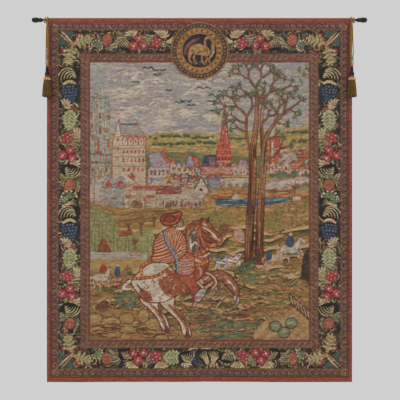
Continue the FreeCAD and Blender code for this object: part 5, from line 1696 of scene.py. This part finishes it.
def yarn_colours():
    """The cartoon as the linear colour of each 2.5 mm of cloth. The brown warp shows between the
    coloured wefts, and no two threads take the dye alike."""
    draw_cartoon()
    shade = np.random.default_rng(3)
    warp_shows = 0.10 + 0.16 * HATCH + 0.18 * shade.random((ROWS, COLS))
    woven = cartoon * (1 - warp_shows)[..., None] + np.array(srgb("57392b")) * warp_shows[..., None]
    dye = 0.87 + 0.26 * noise(9, 3.4, 12, 2)
    threads = 1 + 0.08 * (shade.random((ROWS, 1)) - 0.5) + 0.16 * (shade.random((ROWS, COLS)) - 0.5)
    tint = 1 + 0.10 * (shade.random((ROWS, COLS, 3)) - 0.5)
    woven = np.clip(woven * (dye * threads)[..., None] * tint, 0, 1)
    padded = np.pad(woven, ((1, 1), (1, 1), (0, 0)), mode="edge")
    mean = (padded[0::2, 0::2] + padded[1::2, 0::2] + padded[0::2, 1::2] + padded[1::2, 1::2]) / 4
    return np.where(mean <= 0.04045, mean / 12.92, ((mean + 0.055) / 1.055) ** 2.4)


# ============================================================ the cloth
cloth_low, cloth_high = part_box("woven_cloth")
HALF = cloth_high.x
FACE = cloth_low.y  # the front of the cloth
FOOT = cloth_low.z
THICK = 1.4 * MM
SLEEVE_OUT = cloth_high.z  # the sleeve's outer radius
SLEEVE_IN = SLEEVE_OUT - THICK
SEAM, FLAP_END, HEM = 50 * MM, 62 * MM, 22 * MM
lining_low, lining_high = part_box("lining")
QUAD = 2.5 * MM  # between the points of the woven face


def rise(value, start, end):
    """A soft step from 0 at start to 1 at end."""
    t = np.clip((value - start) / (end - start), 0, 1)
    return t * t * (3 - 2 * t)


# The sewn cloth draws into small gathers: their pitch and height along X, metres.
GATHER_PITCH, GATHER = 0.043, 0.0005


def hang(x, z):
    """How far the hanging cloth waves from its flat plane, in metres, plus towards the wall."""
    x, z = np.asarray(x, float), np.asarray(z, float)
    low = rise(-z, 0.07, 1.1)
    folds = (0.0042 * np.sin(2 * math.pi * (x * 0.92 + 0.13) - 0.5 * z)
             + 0.0022 * np.sin(2 * math.pi * (x * 2.1 + 0.30) + 1.3 * z)
             + 0.0011 * np.sin(2 * math.pi * (x * 4.6 - 0.2) + 2.4 * z))
    bellying = 0.0016 * np.sin(2 * math.pi * (z * 0.8 + 0.2)) * np.cos(x * 3.0)
    puckers = GATHER * np.sin(2 * math.pi * x / GATHER_PITCH) * rise(-z, 0.062,
        0.070) * (1 - rise(-z, 0.070, 0.15))
    waves = low * (folds + bellying) + puckers
    beside_tassel = rise(np.abs(x), 0.60, 0.645) * (1 - rise(-z, 0.345, 0.42))
    return waves * (1 - beside_tassel)


def woven_face():
    """The picture side, in four sheets that meet edge to edge, each point with its yarn's colour."""
    colours = yarn_colours()
    cols = round(2 * HALF / QUAD)
    rows = round(-FOOT / QUAD)
    first_row = colours.shape[0] - 1 - rows
    halves = {"upper": (0, rows // 2), "lower": (rows // 2, rows)}
    for level, (top, foot) in halves.items():
        for side, (left, right) in {"left": (0, cols // 2), "right": (cols // 2, cols)}.items():
            row, col = np.meshgrid(np.arange(top, foot + 1), np.arange(left, right + 1), indexing="ij")
            x = -HALF + 2 * HALF * col / cols
            z = FOOT * row / rows
            y = FACE + hang(x, z)
            points = np.stack([x, y, z], -1).reshape(-1, 3)
            faces = grid_faces(foot - top + 1, right - left + 1)[:, ::-1]
            piece = new_piece(f"picture_{level}_{side}", points, faces, PICTURE)
            yarn = piece.data.color_attributes.new("yarn", "FLOAT_COLOR", "POINT")
            rgba = np.ones((len(points), 4), np.float32)
            rgba[:, :3] = colours[first_row + row, col].reshape(-1, 3)
            yarn.data.foreach_set("color", rgba.ravel())
            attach(piece, "cloth")
            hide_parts("woven_cloth")


def sleeve():
    """The top of the cloth: over the rod, down behind and sewn, as a closed band of cloth."""
    turn = 2 * math.atan2(SEAM, SLEEVE_IN) - math.pi
    arc = np.linspace(math.pi, turn, 40)
    seam = np.array([-SLEEVE_IN, -SEAM])
    leave = np.array([math.cos(turn), math.sin(turn)])
    inner = [(SLEEVE_IN * math.cos(a), SLEEVE_IN * math.sin(a)) for a in arc]
    outer = [(SLEEVE_OUT * math.cos(a), SLEEVE_OUT * math.sin(a)) for a in arc]
    fall = seam - leave * SLEEVE_IN
    for share in np.linspace(0.08, 0.96, 16):
        sag = 1.1 * MM * math.sin(math.pi * share)
        inner.append(tuple(leave * SLEEVE_IN + fall * share - leave * sag))
        outer.append(tuple(leave * (SLEEVE_OUT - sag) + fall * share))
    for level in (SEAM + 2.5 * MM, SEAM + 6 * MM, FLAP_END - 0.4 * MM):
        inner.append((-SLEEVE_IN + 0.12 * MM, -level))
        outer.append((-SLEEVE_IN + THICK, -level))
    inner.append((-SLEEVE_IN + 0.5 * MM, -FLAP_END))
    outer.append((-SLEEVE_IN + 0.9 * MM, -FLAP_END))
    ring = np.array(outer + inner[::-1])
    across = np.linspace(-HALF, HALF, 269)
    points = np.zeros((len(across), len(ring), 3))
    points[..., 0] = across[:, None]
    points[..., 1:] = ring[None]
    behind = rise(-points[..., 2], 0.012, 0.05) * (points[..., 1] > FACE + THICK * 1.5)
    points[..., 1] += behind * GATHER * np.sin(2 * math.pi * points[..., 0] / GATHER_PITCH)
    faces = [tuple(f) for f in grid_faces(len(across), len(ring), closed_across=True)]
    last = (len(across) - 1) * len(ring)
    pairs = len(outer)
    for base in (0, last):
        for i in range(pairs - 1):
            j = 2 * pairs - 1 - i
            faces.append((base + i, base + i + 1, base + j - 1, base + j))
    piece = finish_mesh(new_piece("cloth_sleeve", points.reshape(-1, 3), faces, BORDER_WEAVE))
    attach(piece, "cloth")
    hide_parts("woven_cloth")


def backing():
    """The body of the cloth behind its face: rounded side and foot edges and the turned hems."""
    behind_face = 0.35 * MM
    back = FACE + THICK
    hem_back = back + THICK
    round_over = [(math.cos(a), math.sin(a)) for a in np.linspace(-math.pi / 2, math.pi / 2, 7)]
    # A section across the cloth from its middle plane out round one edge to the hem's raw edge.
    edge = HALF - THICK
    section = [(edge + THICK * 0.98 * c, FACE + THICK + (THICK - behind_face) * s) for c, s in round_over]
    section += [(edge - HEM * 0.5, hem_back), (HALF - HEM, hem_back),
                (HALF - HEM - 0.3 * MM, back + 0.1 * MM)]
    right = np.array(section)
    inner = np.linspace(HALF - HEM - 5 * MM, -(HALF - HEM - 5 * MM), 120)
    middle = np.stack([inner, np.full(120, back)], -1)
    left = right[::-1] * (-1, 1)
    front = np.linspace(-edge, edge, 200)[1:-1]
    front = np.stack([front, np.full(198, FACE + behind_face)], -1)
    ring = np.concatenate([right, middle, left, front])
    levels = np.concatenate([np.linspace(-2 * MM, -64 * MM, 14), np.linspace(-66 * MM, -160 * MM, 24),
                             np.linspace(-165 * MM, FOOT + HEM, 150)])
    count = len(ring)
    points = np.zeros((len(levels), count, 3))
    points[..., 0], points[..., 1] = ring[None, :, 0], ring[None, :, 1]
    points[..., 2] = levels[:, None]
    # Above the hems' tops the cloth is single.
    single = levels > -67 * MM
    points[single, :, 1] = np.minimum(points[single, :, 1], back)
    points[..., 1] += hang(points[..., 0], points[..., 2])
    faces = [tuple(f) for f in grid_faces(len(levels), count, closed_across=True)]
    faces.append(tuple(range(count)))
    last = (len(levels) - 1) * count
    faces.append(tuple(range(last, last + count)))
    piece = finish_mesh(new_piece("cloth_body", points.reshape(-1, 3), faces, BORDER_WEAVE))
    # The foot hem: the same fold along the bottom edge.
    fold = [(FOOT + THICK - THICK * 0.98 * c, FACE + THICK + (THICK - behind_face) * s) for c,
            s in round_over]
    fold += [(FOOT + HEM * 0.5, hem_back), (FOOT + HEM + 1 * MM, hem_back), (FOOT + HEM + 1.3 * MM, back)]
    fold += [(FOOT + HEM, FACE + behind_face)]
    fold = np.array(fold)
    across = np.linspace(-HALF + 0.2 * MM, HALF - 0.2 * MM, 160)
    foot = np.zeros((len(across), len(fold), 3))
    foot[..., 0] = across[:, None]
    foot[..., 1], foot[..., 2] = fold[None, :, 1], fold[None, :, 0]
    foot[..., 1] += hang(foot[..., 0], foot[..., 2])
    foot_faces = [tuple(f) for f in grid_faces(len(across), len(fold), closed_across=True)]
    last = (len(across) - 1) * len(fold)
    foot_faces += [tuple(range(len(fold))), tuple(range(last, last + len(fold)))]
    hem = finish_mesh(new_piece("cloth_foot_hem", foot.reshape(-1, 3), foot_faces, BORDER_WEAVE))
    for made, flat in ((piece, (2 * HALF, -FOOT)), (hem, (2 * HALF, HEM))):
        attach(made, "cloth")
        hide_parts("woven_cloth")


LINING_THICK = 0.6 * MM
STITCH_PITCH, STITCH_LONG, STITCH_WIDE = 10 * MM, 6 * MM, 0.7 * MM
STITCH_INSET = 5 * MM


def lining_back(x, z):
    """The lining's outer surface: it billows a little between its sewn edges."""
    sag = (rise(np.abs(x) * -1, -lining_high.x, -lining_high.x + 0.05) * rise(z, lining_low.z,
        lining_low.z + 0.05)
           * (1 - rise(z, lining_high.z - 0.05, lining_high.z)))
    loose = 0.0016 * np.sin(2 * math.pi * (x * 1.7 + 0.2) + z * 2.2) + 0.0018
    gathers = 0.00045 * np.sin(2 * math.pi * z / 0.031)
    return lining_high.y + hang(x, z) + sag * (loose + gathers)


def lining_sheet():
    """Plain cotton, its edges turned under, slip-stitched to the hems."""
    xs = np.concatenate([[lining_low.x], np.linspace(lining_low.x + 1.5 * MM, lining_high.x - 1.5 * MM, 200),
                         [lining_high.x]])
    zs = np.concatenate([[lining_high.z], np.linspace(lining_high.z - 1.5 * MM, lining_low.z + 1.5 * MM,
                                                      220), [lining_low.z]])
    x, z = np.meshgrid(xs, zs)
    back = lining_back(x, z)
    rim = (x <= lining_low.x) | (x >= lining_high.x) | (z >= lining_high.z) | (z <= lining_low.z)
    back = np.where(rim, back - LINING_THICK * 0.5, back)
    front = np.where(rim, back, back - LINING_THICK)
    shape = x.shape
    outside = np.stack([x, back, z], -1).reshape(-1, 3)
    inside = np.stack([x, front, z], -1).reshape(-1, 3)
    quads = grid_faces(*shape)
    faces = [tuple(f) for f in quads] + [tuple(f[::-1] + len(outside)) for f in quads]
    piece = new_piece("lining_cloth", np.concatenate([outside, inside]), faces, LINING_WEAVE)
    finish_mesh(piece, merge=0.01 * MM)
    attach(piece, "cloth")
    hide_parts("lining")


def stitch(start, end, surface):
    """One running stitch: a short thread that dips into the cloth at both ends."""
    shares = (0.0, 0.18, 0.5, 0.82, 1.0)
    lifts = (-0.25, 0.28, 0.42, 0.28, -0.25)
    path = []
    for share, lift in zip(shares, lifts):
        x, z = start + (end - start) * share
        path.append((x, float(surface(x, z)) + lift * STITCH_WIDE, z))
    return tube_rings(path, STITCH_WIDE / 2, 6)


def stitch_line(start, end, surface):
    """A row of stitches between two (x, z) points on a surface."""
    start, end = np.array(start), np.array(end)
    long = np.linalg.norm(end - start)
    ahead = (end - start) / long
    count = int(long / STITCH_PITCH)
    first = (long - count * STITCH_PITCH + STITCH_PITCH - STITCH_LONG) / 2
    made = []
    for i in range(count):
        begin = start + ahead * (first + i * STITCH_PITCH)
        made.append(stitch(begin, begin + ahead * STITCH_LONG, surface))
    return made


def stitches():
    """The tunnel's seam, and the slip stitches round three sides of the lining."""
    def flap(x, z):
        return FACE + 2 * THICK + GATHER * math.sin(2 * math.pi * x / GATHER_PITCH)

    level = -(SEAM + FLAP_END) / 2
    seam = stitch_line((-HALF, level), (HALF, level), flap)
    left, right = lining_low.x + STITCH_INSET, lining_high.x - STITCH_INSET
    foot, top = lining_low.z + STITCH_INSET, lining_high.z
    hems = stitch_line((left, foot), (right, foot), lining_back)
    for x in (left, right):
        hems += stitch_line((x, foot + STITCH_PITCH), (x, top), lining_back)
    for name, rows, old in (("seam_thread", seam, "tunnel_stitches"),
                            ("hem_thread", hems, "lining_stitches")):
        piece = finish_mesh(new_piece(name, *gathered(rows), THREAD))
        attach(piece, "cloth")
        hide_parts(old)


# ============================================================ cords
CORD = 6 * MM
KNOT = 13 * MM
PLIES, TWIST = 3, 18 * MM  # threads laid together, and the length of one full turn


def route_points(route, name):
    """A smooth line along a route, evenly spaced: its NURBS spline read as points."""
    curve = bpy.data.curves.new(name, "CURVE")
    curve.dimensions = "3D"
    curve.resolution_u = 16
    spline = curve.splines.new("NURBS")
    spline.points.add(len(route) - 1)
    for point, place in zip(spline.points, route):
        point.co = (*place, 1.0)
    spline.order_u = 3
    spline.use_endpoint_u = True
    holder = bpy.data.objects.new(name, curve)
    bpy.context.collection.objects.link(holder)
    bpy.context.view_layer.update()
    line = bpy.data.meshes.new_from_object(holder.evaluated_get(bpy.context.evaluated_depsgraph_get()))
    points = np.array([v.co[:] for v in line.vertices])
    bpy.data.meshes.remove(line)
    bpy.data.objects.remove(holder)
    bpy.data.curves.remove(curve)
    steps = np.linalg.norm(np.diff(points, axis=0), axis=1)
    run = np.concatenate([[0], np.cumsum(steps)])
    count = max(int(run[-1] / (1.5 * MM)), 8)
    even = np.linspace(0, run[-1], count)
    return np.stack([np.interp(even, run, points[:, i]) for i in range(3)], -1), float(run[-1])


def laid_rope(name, route, finish, diameter=CORD):
    """Three plies laid round a route. Returns the piece, its line and its length."""
    line, length = route_points(route, name + "_route")
    first, second = travelling_frames(line)
    angle = np.linspace(0, 2 * math.pi * length / TWIST, len(line))
    parts = []
    for ply in range(PLIES):
        a = angle + 2 * math.pi * ply / PLIES
        centre = line + (first * np.cos(a)[:, None] + second * np.sin(a)[:, None]) * diameter * 0.25
        parts.append(tube_rings(centre, diameter * 0.295, 9))
    piece = finish_mesh(new_piece(name, *gathered(parts), finish))
    return piece, line, length


def tassel_frame(side):
    """Where the tassel hangs: its origin at the upper knot, -Z down the cord."""
    turn = joints[f"tassel_turn_{side}"]
    up = Vector(turn["axis"]).normalized()
    across = Vector((1, 0, 0))
    back = up.cross(across).normalized()
    made = Matrix((across, back, up)).transposed().to_4x4()
    made.translation = Vector(turn["pos_m"])
    return made


def in_frame(matrix, points):
    return np.array([(matrix @ Vector(p))[:] for p in points])


STRAND_GAP, KNOT_GAP = 0.4, 0.4  # mm
MIDDLE_KNOT, HEAD_DROP, TAIL_STAND = 146.0, 187.5, 1.2
SPREAD = {"left": 4.3, "right": 5.6}
EYE_SPREAD = 4.6
BOW = [(0.18, 0.04), (0.35, 0.26), (0.55, 0.54), (0.73, 0.90), (0.885, 1.0)]
EYE = [(0.34, 1.0), (0.69, 0.82)]
STRAND_DEPTH = [0, 0.5, 1.0, 0.7, 0.2, -0.3, 0, 0.3, 0.2, 0]


def strands(side, sign, frame_of_tassel):
    """The two halves of the cord that part above the middle knot and open in an eye below it."""
    closed = (CORD / MM + STRAND_GAP) / 2
    bow, eye = SPREAD[side] - closed, EYE_SPREAD - closed
    bottom = HEAD_DROP - TAIL_STAND
    course = [(closed, KNOT / MM / 2 + KNOT_GAP)]
    course += [(closed + bow * out, MIDDLE_KNOT * down) for down, out in BOW]
    course += [(closed, MIDDLE_KNOT)]
    course += [(closed + eye * out, MIDDLE_KNOT + (bottom - MIDDLE_KNOT) * down) for down, out in EYE]
    course += [(closed, bottom)]
    for label, way in (("strand_a", -1), ("strand_b", 1)):
        route = [
            Vector((out * way * sign, forward * way, -down)) * MM
            for (out, down), forward in zip(course, STRAND_DEPTH)
        ]
        route = in_frame(frame_of_tassel, route)
        piece, line, length = laid_rope(f"{label}_{side}_rope", route, GOLD_CORD)
        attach(piece, f"cord_{side}")
        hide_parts(f"{label}_{side}")
        tuple(line[0])


def tied_knot(name, size, high, matrix, drop, body, old):
    """A small tied knot: a closed three-lobed turn of cord drawn tight round its own core."""
    thick = size * 0.17
    reach = (size / 2 - thick) / 3
    t = np.linspace(0, 2 * math.pi, 91)
    line = np.stack([
        (np.sin(t) + 2 * np.sin(2 * t)) * reach,
        (np.cos(t) - 2 * np.cos(2 * t)) * reach,
        -np.sin(3 * t) * (high / 2 - thick) * 0.95,
    ], -1)
    line[:, 2] -= drop
    turns = tube_rings(in_frame(matrix, line), thick, 10, closed_ends=False)
    core_path = in_frame(matrix, [(0, 0, -drop + k) for k in np.linspace(-high / 2, high / 2, 9) * 0.86])
    core = tube_rings(core_path, size * 0.33 * np.array([0.35, 0.72, 0.92, 1, 1, 1, 0.92, 0.72, 0.35]), 16)
    piece = finish_mesh(new_piece(name, *gathered([turns, core]), GOLD_CORD), merge=0.01 * MM)
    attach(piece, body)
    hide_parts(old)


ROD = 8 * MM
TURN_POINTS = 14


def winding(side, sign):
    """The cord from the knot over the cloth's corner, round the bare rod and back to the knot."""
    knot = Vector(joints[f"tassel_turn_{side}"]["pos_m"])
    over_sleeve = SLEEVE_OUT + CORD / 2 + 0.7 * MM
    on_rod = ROD + CORD / 2 + 0.55 * MM
    x_over, first_turn, last_turn = HALF - 3.0 * MM, HALF + 4.3 * MM, HALF + 11.3 * MM
    route = [(abs(knot.x) - 1.6 * MM, knot.y - 0.6 * MM, knot.z + 4 * MM),
             (x_over + 2.4 * MM, knot.y + 0.8 * MM, knot.z + 9 * MM),
             (x_over + 0.6 * MM, -over_sleeve - 0.4 * MM, -5 * MM)]
    total = 2 * TURN_POINTS
    for i in range(total + 1):
        angle = 2 * math.pi * i / TURN_POINTS
        degrees = math.degrees(angle)
        come_down = float(rise(degrees, 120, 205))
        radius = over_sleeve + (on_rod - over_sleeve) * come_down
        x = x_over + (first_turn - x_over) * come_down
        x += (last_turn - first_turn) * float(rise(degrees, 230, 700)) if degrees > 230 else 0
        route.append((x, -radius * math.cos(angle), radius * math.sin(angle)))
    route += [(last_turn - 1.2 * MM, -on_rod - 1.6 * MM, -6 * MM),
              (abs(knot.x) + 3.8 * MM, knot.y + 1.4 * MM, knot.z + 9 * MM),
              (abs(knot.x) + 1.6 * MM, knot.y - 0.2 * MM, knot.z + 4 * MM)]
    route = [(x * sign, y, z) for x, y, z in route]
    piece, line, length = laid_rope(f"winding_{side}", route, GOLD_CORD)
    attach(piece, f"loop_{side}")
    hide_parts(f"cord_wrap_{side}")
    tuple(line[0])


# ============================================================ tassels
HEAD_LONG = 40.0
COLLAR_HIGH = 9.0
SKIRT_LONG = 96.0
SKIRT_TRIM = 5.0


def lathe(name, stations, sides, finish, matrix):
    """A turned piece: a circle drawn out along Z through (radius, height) stations in mm."""
    bpy.ops.object.select_all(action="DESELECT")
    radius, height = stations[0]
    bpy.ops.mesh.primitive_circle_add(vertices=sides, radius=radius * MM, location=(0, 0, height * MM))
    piece = bpy.context.object
    piece.name = piece.data.name = name
    bpy.ops.object.transform_apply(location=True, rotation=True, scale=True)
    bpy.ops.object.mode_set(mode="EDIT")
    bpy.ops.mesh.select_all(action="SELECT")
    for (r0, z0), (r1, z1) in zip(stations, stations[1:]):
        bpy.ops.mesh.extrude_region_move(TRANSFORM_OT_translate={"value": (0, 0, (z1 - z0) * MM)})
        bpy.ops.transform.resize(value=(r1 / r0, r1 / r0, 1))
    bpy.ops.mesh.edge_face_add()
    bpy.ops.mesh.select_all(action="DESELECT")
    bpy.ops.mesh.select_non_manifold(extend=False)
    bpy.ops.mesh.edge_face_add()
    bpy.ops.mesh.select_all(action="SELECT")
    bpy.ops.mesh.normals_make_consistent(inside=False)
    bpy.ops.object.mode_set(mode="OBJECT")
    rounded = piece.modifiers.new("rounded", "SUBSURF")
    rounded.levels = rounded.render_levels = 1
    bpy.ops.object.modifier_apply(modifier=rounded.name)
    piece.data.materials.append(finish)
    bpy.ops.object.shade_smooth_by_angle(angle=math.radians(50))
    piece.data.transform(matrix)
    piece.select_set(False)
    return piece


def head(side, matrix):
    """The turned wooden head: a cap, a neck, a bead and a round bowl."""
    top = -HEAD_DROP
    profile = [(3.0, 0.0), (5.0, 0.2), (6.2, 1.2), (6.5, 3.2), (6.3, 6.2), (5.7, 8.2), (5.25, 9.4),
               (5.25, 10.6),
               (6.2, 11.6), (7.6, 13.4), (8.0, 15.4), (7.6, 17.6), (6.5, 19.4), (6.25, 20.4), (6.35, 21.6),
               (7.6, 23.4),
               (9.1, 26.4), (9.85, 30.0), (10.0, 33.2), (9.8, 36.4), (9.1, 39.2), (8.4, 39.95), (3.0, 40.0)]
    stations = [(radius, top - down) for radius, down in profile]
    piece = lathe(f"turned_head_{side}", stations, 40, LACQUER, matrix)
    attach(piece, f"tassel_{side}")
    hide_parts(f"tassel_head_{side}")


def loop_ring(radius, level, count, high, thick, matrix, lean=0.0):
    """A ring of upright yarn loops, side by side."""
    parts = []
    for i in range(count):
        turn = 2 * math.pi * i / count
        t = np.linspace(0, 2 * math.pi, 15)
        out = radius + np.cos(t) * high * 0.30 + lean * np.sin(t)
        up = level + np.sin(t) * high * 0.5
        swing = turn + 0.07 * np.sin(t + 0.8)
        loop = np.stack([out * np.cos(swing), out * np.sin(swing), up], -1) * MM
        parts.append(tube_rings(in_frame(matrix, loop), thick * MM / 2, 6, closed_ends=False))
    return parts


def cord_ring(radius, level, thick, matrix, twists):
    """A closed ring of two-ply cord round the tassel."""
    parts = []
    t = np.linspace(0, 2 * math.pi, 97)
    for ply in (0, 1):
        a = twists * t + math.pi * ply
        out = radius + np.cos(a) * thick * 0.24
        up = level + np.sin(a) * thick * 0.24
        line = np.stack([out * np.cos(t), out * np.sin(t), up], -1) * MM
        parts.append(tube_rings(in_frame(matrix, line), thick * MM * 0.29, 7, closed_ends=False))
    return parts


def trimmings(side, matrix):
    """The collar of wound cord and the ruff of loops below it."""
    top = -(HEAD_DROP + HEAD_LONG)
    rows = []
    for level, radius in ((1.5, 9.0), (4.4, 9.3), (7.4, 9.2)):
        rows += cord_ring(radius, top - level, 3.0, matrix, 20)
    core = tube_rings(in_frame(matrix, [(0, 0, (top - k) * MM) for k in (0.1, 2.9, 6.0, 8.9)]),
                      8.6 * MM, 32)
    collar = finish_mesh(new_piece(f"wound_collar_{side}", *gathered(rows + [core]), GOLD_CORD),
                         merge=0.005 * MM)
    ruff_top = top - COLLAR_HIGH
    loops = loop_ring(12.8, ruff_top - 5.2, 38, 8.8, 1.8, matrix, 0.5)
    loops += loop_ring(11.3, ruff_top - 2.9, 30, 5.6, 1.6, matrix, 0.3)
    loops += cord_ring(11.4, ruff_top - 0.6, 1.8, matrix, 26)
    under = tube_rings(in_frame(matrix, [(0, 0, (ruff_top - k) * MM) for k in (0.1, 4.6, 9.8)]),
                       np.array([10.9, 12.0, 12.6]) * MM, 32)
    ruff = finish_mesh(new_piece(f"looped_ruff_{side}", *gathered(loops + [under]), GOLD_GIMP),
                       merge=0.005 * MM)
    for piece, old, slot in ((collar, f"tassel_collar_{side}", "gold_cord"),
                             (ruff, f"tassel_ruff_{side}", "gold_gimp")):
        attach(piece, f"tassel_{side}")
        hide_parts(old)


def skirt(side, matrix, seed):
    """Cut threads that hang from under the ruff and spread a little to an even, rounded rim."""
    spot = random.Random(seed)
    start = -(HEAD_DROP + HEAD_LONG + COLLAR_HIGH + 4.0)
    foot = -(HEAD_DROP + HEAD_LONG + SKIRT_LONG)
    parts = []
    for ring, (count, share) in enumerate(((120, 1.0), (96, 0.88), (70, 0.72), (48, 0.52), (26, 0.30))):
        for i in range(count):
            turn = 2 * math.pi * (i + spot.uniform(-0.35, 0.35)) / count
            above, below = 13.0 * share, 20.4 * share
            end = foot + SKIRT_TRIM * share**2 + spot.uniform(-0.5, 0.7)
            sway = spot.uniform(-0.05, 0.05)
            line = []
            for t in (0.0, 0.12, 0.35, 0.62, 0.86, 1.0):
                swell = above + (below - above) * (t ** 0.8) + 0.7 * math.sin(math.pi * t)
                a = turn + sway * math.sin(math.pi * t) + 0.10 * t
                line.append((swell * math.cos(a) * MM, swell * math.sin(a) * MM,
                             (start + (end - start) * t) * MM))
            thick = 0.52 if ring < 2 else 0.75
            parts.append(tube_rings(in_frame(matrix, line), thick * MM * spot.uniform(0.9, 1.15), 5))
    heights = np.linspace(0, 1, 10)
    levels = [(0, 0, (start + (foot + 5.0 - start) * t) * MM) for t in heights]
    bundle = tube_rings(in_frame(matrix, levels), (12.2 + (19.2 - 12.2) * heights ** 0.8) * MM, 48)
    piece = finish_mesh(new_piece(f"thread_skirt_{side}", *gathered(parts + [bundle]), SKIRT_YARN))
    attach(piece, f"tassel_{side}")
    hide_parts(f"tassel_skirt_{side}")


# ============================================================ finials
def finial_leaf(length, width, stand, matrix):
    """One cast leaf that hugs the bud and turns out at its tip, as points and faces."""
    rows, cols = 12, 7
    points = []
    for layer in (1, -1):
        for i in range(rows):
            t = i / (rows - 1)
            half = width * (math.sin(math.pi * (0.12 + 0.84 * t)) ** 0.8) * (1 + 0.13 * math.cos(t * 6 * math.pi))
            for j in range(cols):
                u = -1 + 2 * j / (cols - 1)
                radius = stand(t) + 1.0 - 1.1 * u * u + 0.45 * math.cos(3 * math.pi * u) + layer * 0.45
                radius += 2.4 * max(t - 0.78, 0) / 0.22 * 0.9
                a = half * u / max(stand(t), 3.0)
                points.append((radius * math.cos(a), radius * math.sin(a), length * t))
    faces = [tuple(f) for f in grid_faces(rows, cols)]
    faces += [tuple(int(i) + rows * cols for i in f[::-1]) for f in grid_faces(rows, cols)]
    rim = [j for j in range(cols)] + [i * cols + cols - 1 for i in range(1, rows)]
    rim += [(rows - 1) * cols + j for j in range(cols - 2, -1, -1)] + [i * cols for i in range(rows - 2, 0,
        -1)]
    shift = rows * cols
    for a, b in zip(rim, rim[1:] + rim[:1]):
        faces.append((a, b, b + shift, a + shift))
    return in_frame(matrix, np.array(points) * MM), faces


def finial(side, sign):
    """A cast bud: ringed neck, leafy shoulder, and a bulb wrapped in two rows of leaves."""
    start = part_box(f"finial_{side}")[0 if sign > 0 else 1].x
    out = Matrix.Translation((start, 0, 0)) @ Matrix.Rotation(sign * math.pi / 2, 4, "Y")
    stations = [(3.0, 0.0), (5.8, 0.1), (6.0, 1.2), (5.5, 2.4), (5.9, 4.4), (7.3, 5.6), (8.8, 7.6),
                (9.7, 10.4), (9.9, 13.4),
                (9.3, 16.0), (8.2, 18.2), (7.9, 20.0), (8.8, 22.4), (10.4, 26.0), (11.3, 31.0), (11.1, 36.5),
                (9.9, 42.0),
                (7.8, 47.0), (5.6, 51.0), (3.6, 53.2), (1.2, 53.9)]
    core = lathe(f"finial_core_{side}", stations, 28, IRON, out)

    def bulb(t):
        return 7.9 + 3.3 * math.sin(math.pi * min(0.10 + 0.78 * t, 1.0)) - 4.2 * max(t - 0.6, 0)

    def shoulder(t):
        return 4.6 + 5.2 * math.sin(math.pi * (0.06 + 0.62 * t))

    parts = []
    for i in range(6):
        turned_by = Matrix.Rotation(2 * math.pi * i / 6, 4, "Z")
        raised = Matrix.Translation((0, 0, 20.5 * MM))
        parts.append(finial_leaf(30.5, 5.6, bulb, out @ raised @ turned_by))
        between = Matrix.Rotation(2 * math.pi * (i + 0.5) / 6, 4, "Z")
        parts.append(finial_leaf(12.6, 4.6, shoulder, out @ Matrix.Translation((0, 0, 5.6 * MM)) @ between))
    leaves = finish_mesh(new_piece(f"finial_leaves_{side}", *gathered(parts), IRON))
    bpy.context.view_layer.objects.active = leaves
    rounded = leaves.modifiers.new("rounded", "SUBSURF")
    rounded.levels = rounded.render_levels = 1
    bpy.ops.object.modifier_apply(modifier=rounded.name)
    for piece in (core, leaves):
        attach(piece, f"finial_{side}")
        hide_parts(f"finial_{side}")


# ============================================================ build
for side_name, direction in SIDES.items():
    tassel_matrix = tassel_frame(side_name)
    strands(side_name, direction, tassel_matrix)
    winding(side_name, direction)
    tied_knot(f"upper_knot_{side_name}_tied", 12.4 * MM, 11 * MM, tassel_matrix, 0.0, f"loop_{side_name}",
              f"upper_knot_{side_name}")
    tied_knot(f"middle_knot_{side_name}_tied", 17 * MM, 13 * MM, tassel_matrix, MIDDLE_KNOT * MM,
              f"cord_{side_name}", f"middle_knot_{side_name}")
    head(side_name, tassel_matrix)
    trimmings(side_name, tassel_matrix)
    skirt(side_name, tassel_matrix, 5 + direction)
    finial(side_name, direction)
woven_face()
sleeve()
backing()
lining_sheet()
stitches()

FINISHES = {
    "rod_tube": IRON, "rod_insert": STEEL, "finial_stud": STEEL, "tassel_mould": WOOD,
    "cord_tail": GOLD_CORD, "stopper_knot": GOLD_CORD, "finial": IRON, "cord_wrap": GOLD_CORD,
    "upper_knot": GOLD_CORD, "middle_knot": GOLD_CORD, "strand": GOLD_CORD, "tassel_head": LACQUER,
    "tassel_collar": GOLD_GIMP, "tassel_ruff": GOLD_GIMP, "tassel_skirt": SKIRT_YARN,
    "woven_cloth": BORDER_WEAVE, "lining_stitches": THREAD, "tunnel_stitches": THREAD, "lining": LINING_WEAVE,
}
for name, cad_node in frame["nodes"].items():
    finish = next(f for start, f in FINISHES.items() if name.startswith(start))
    cad_node.data.materials.clear()
    cad_node.data.materials.append(finish)
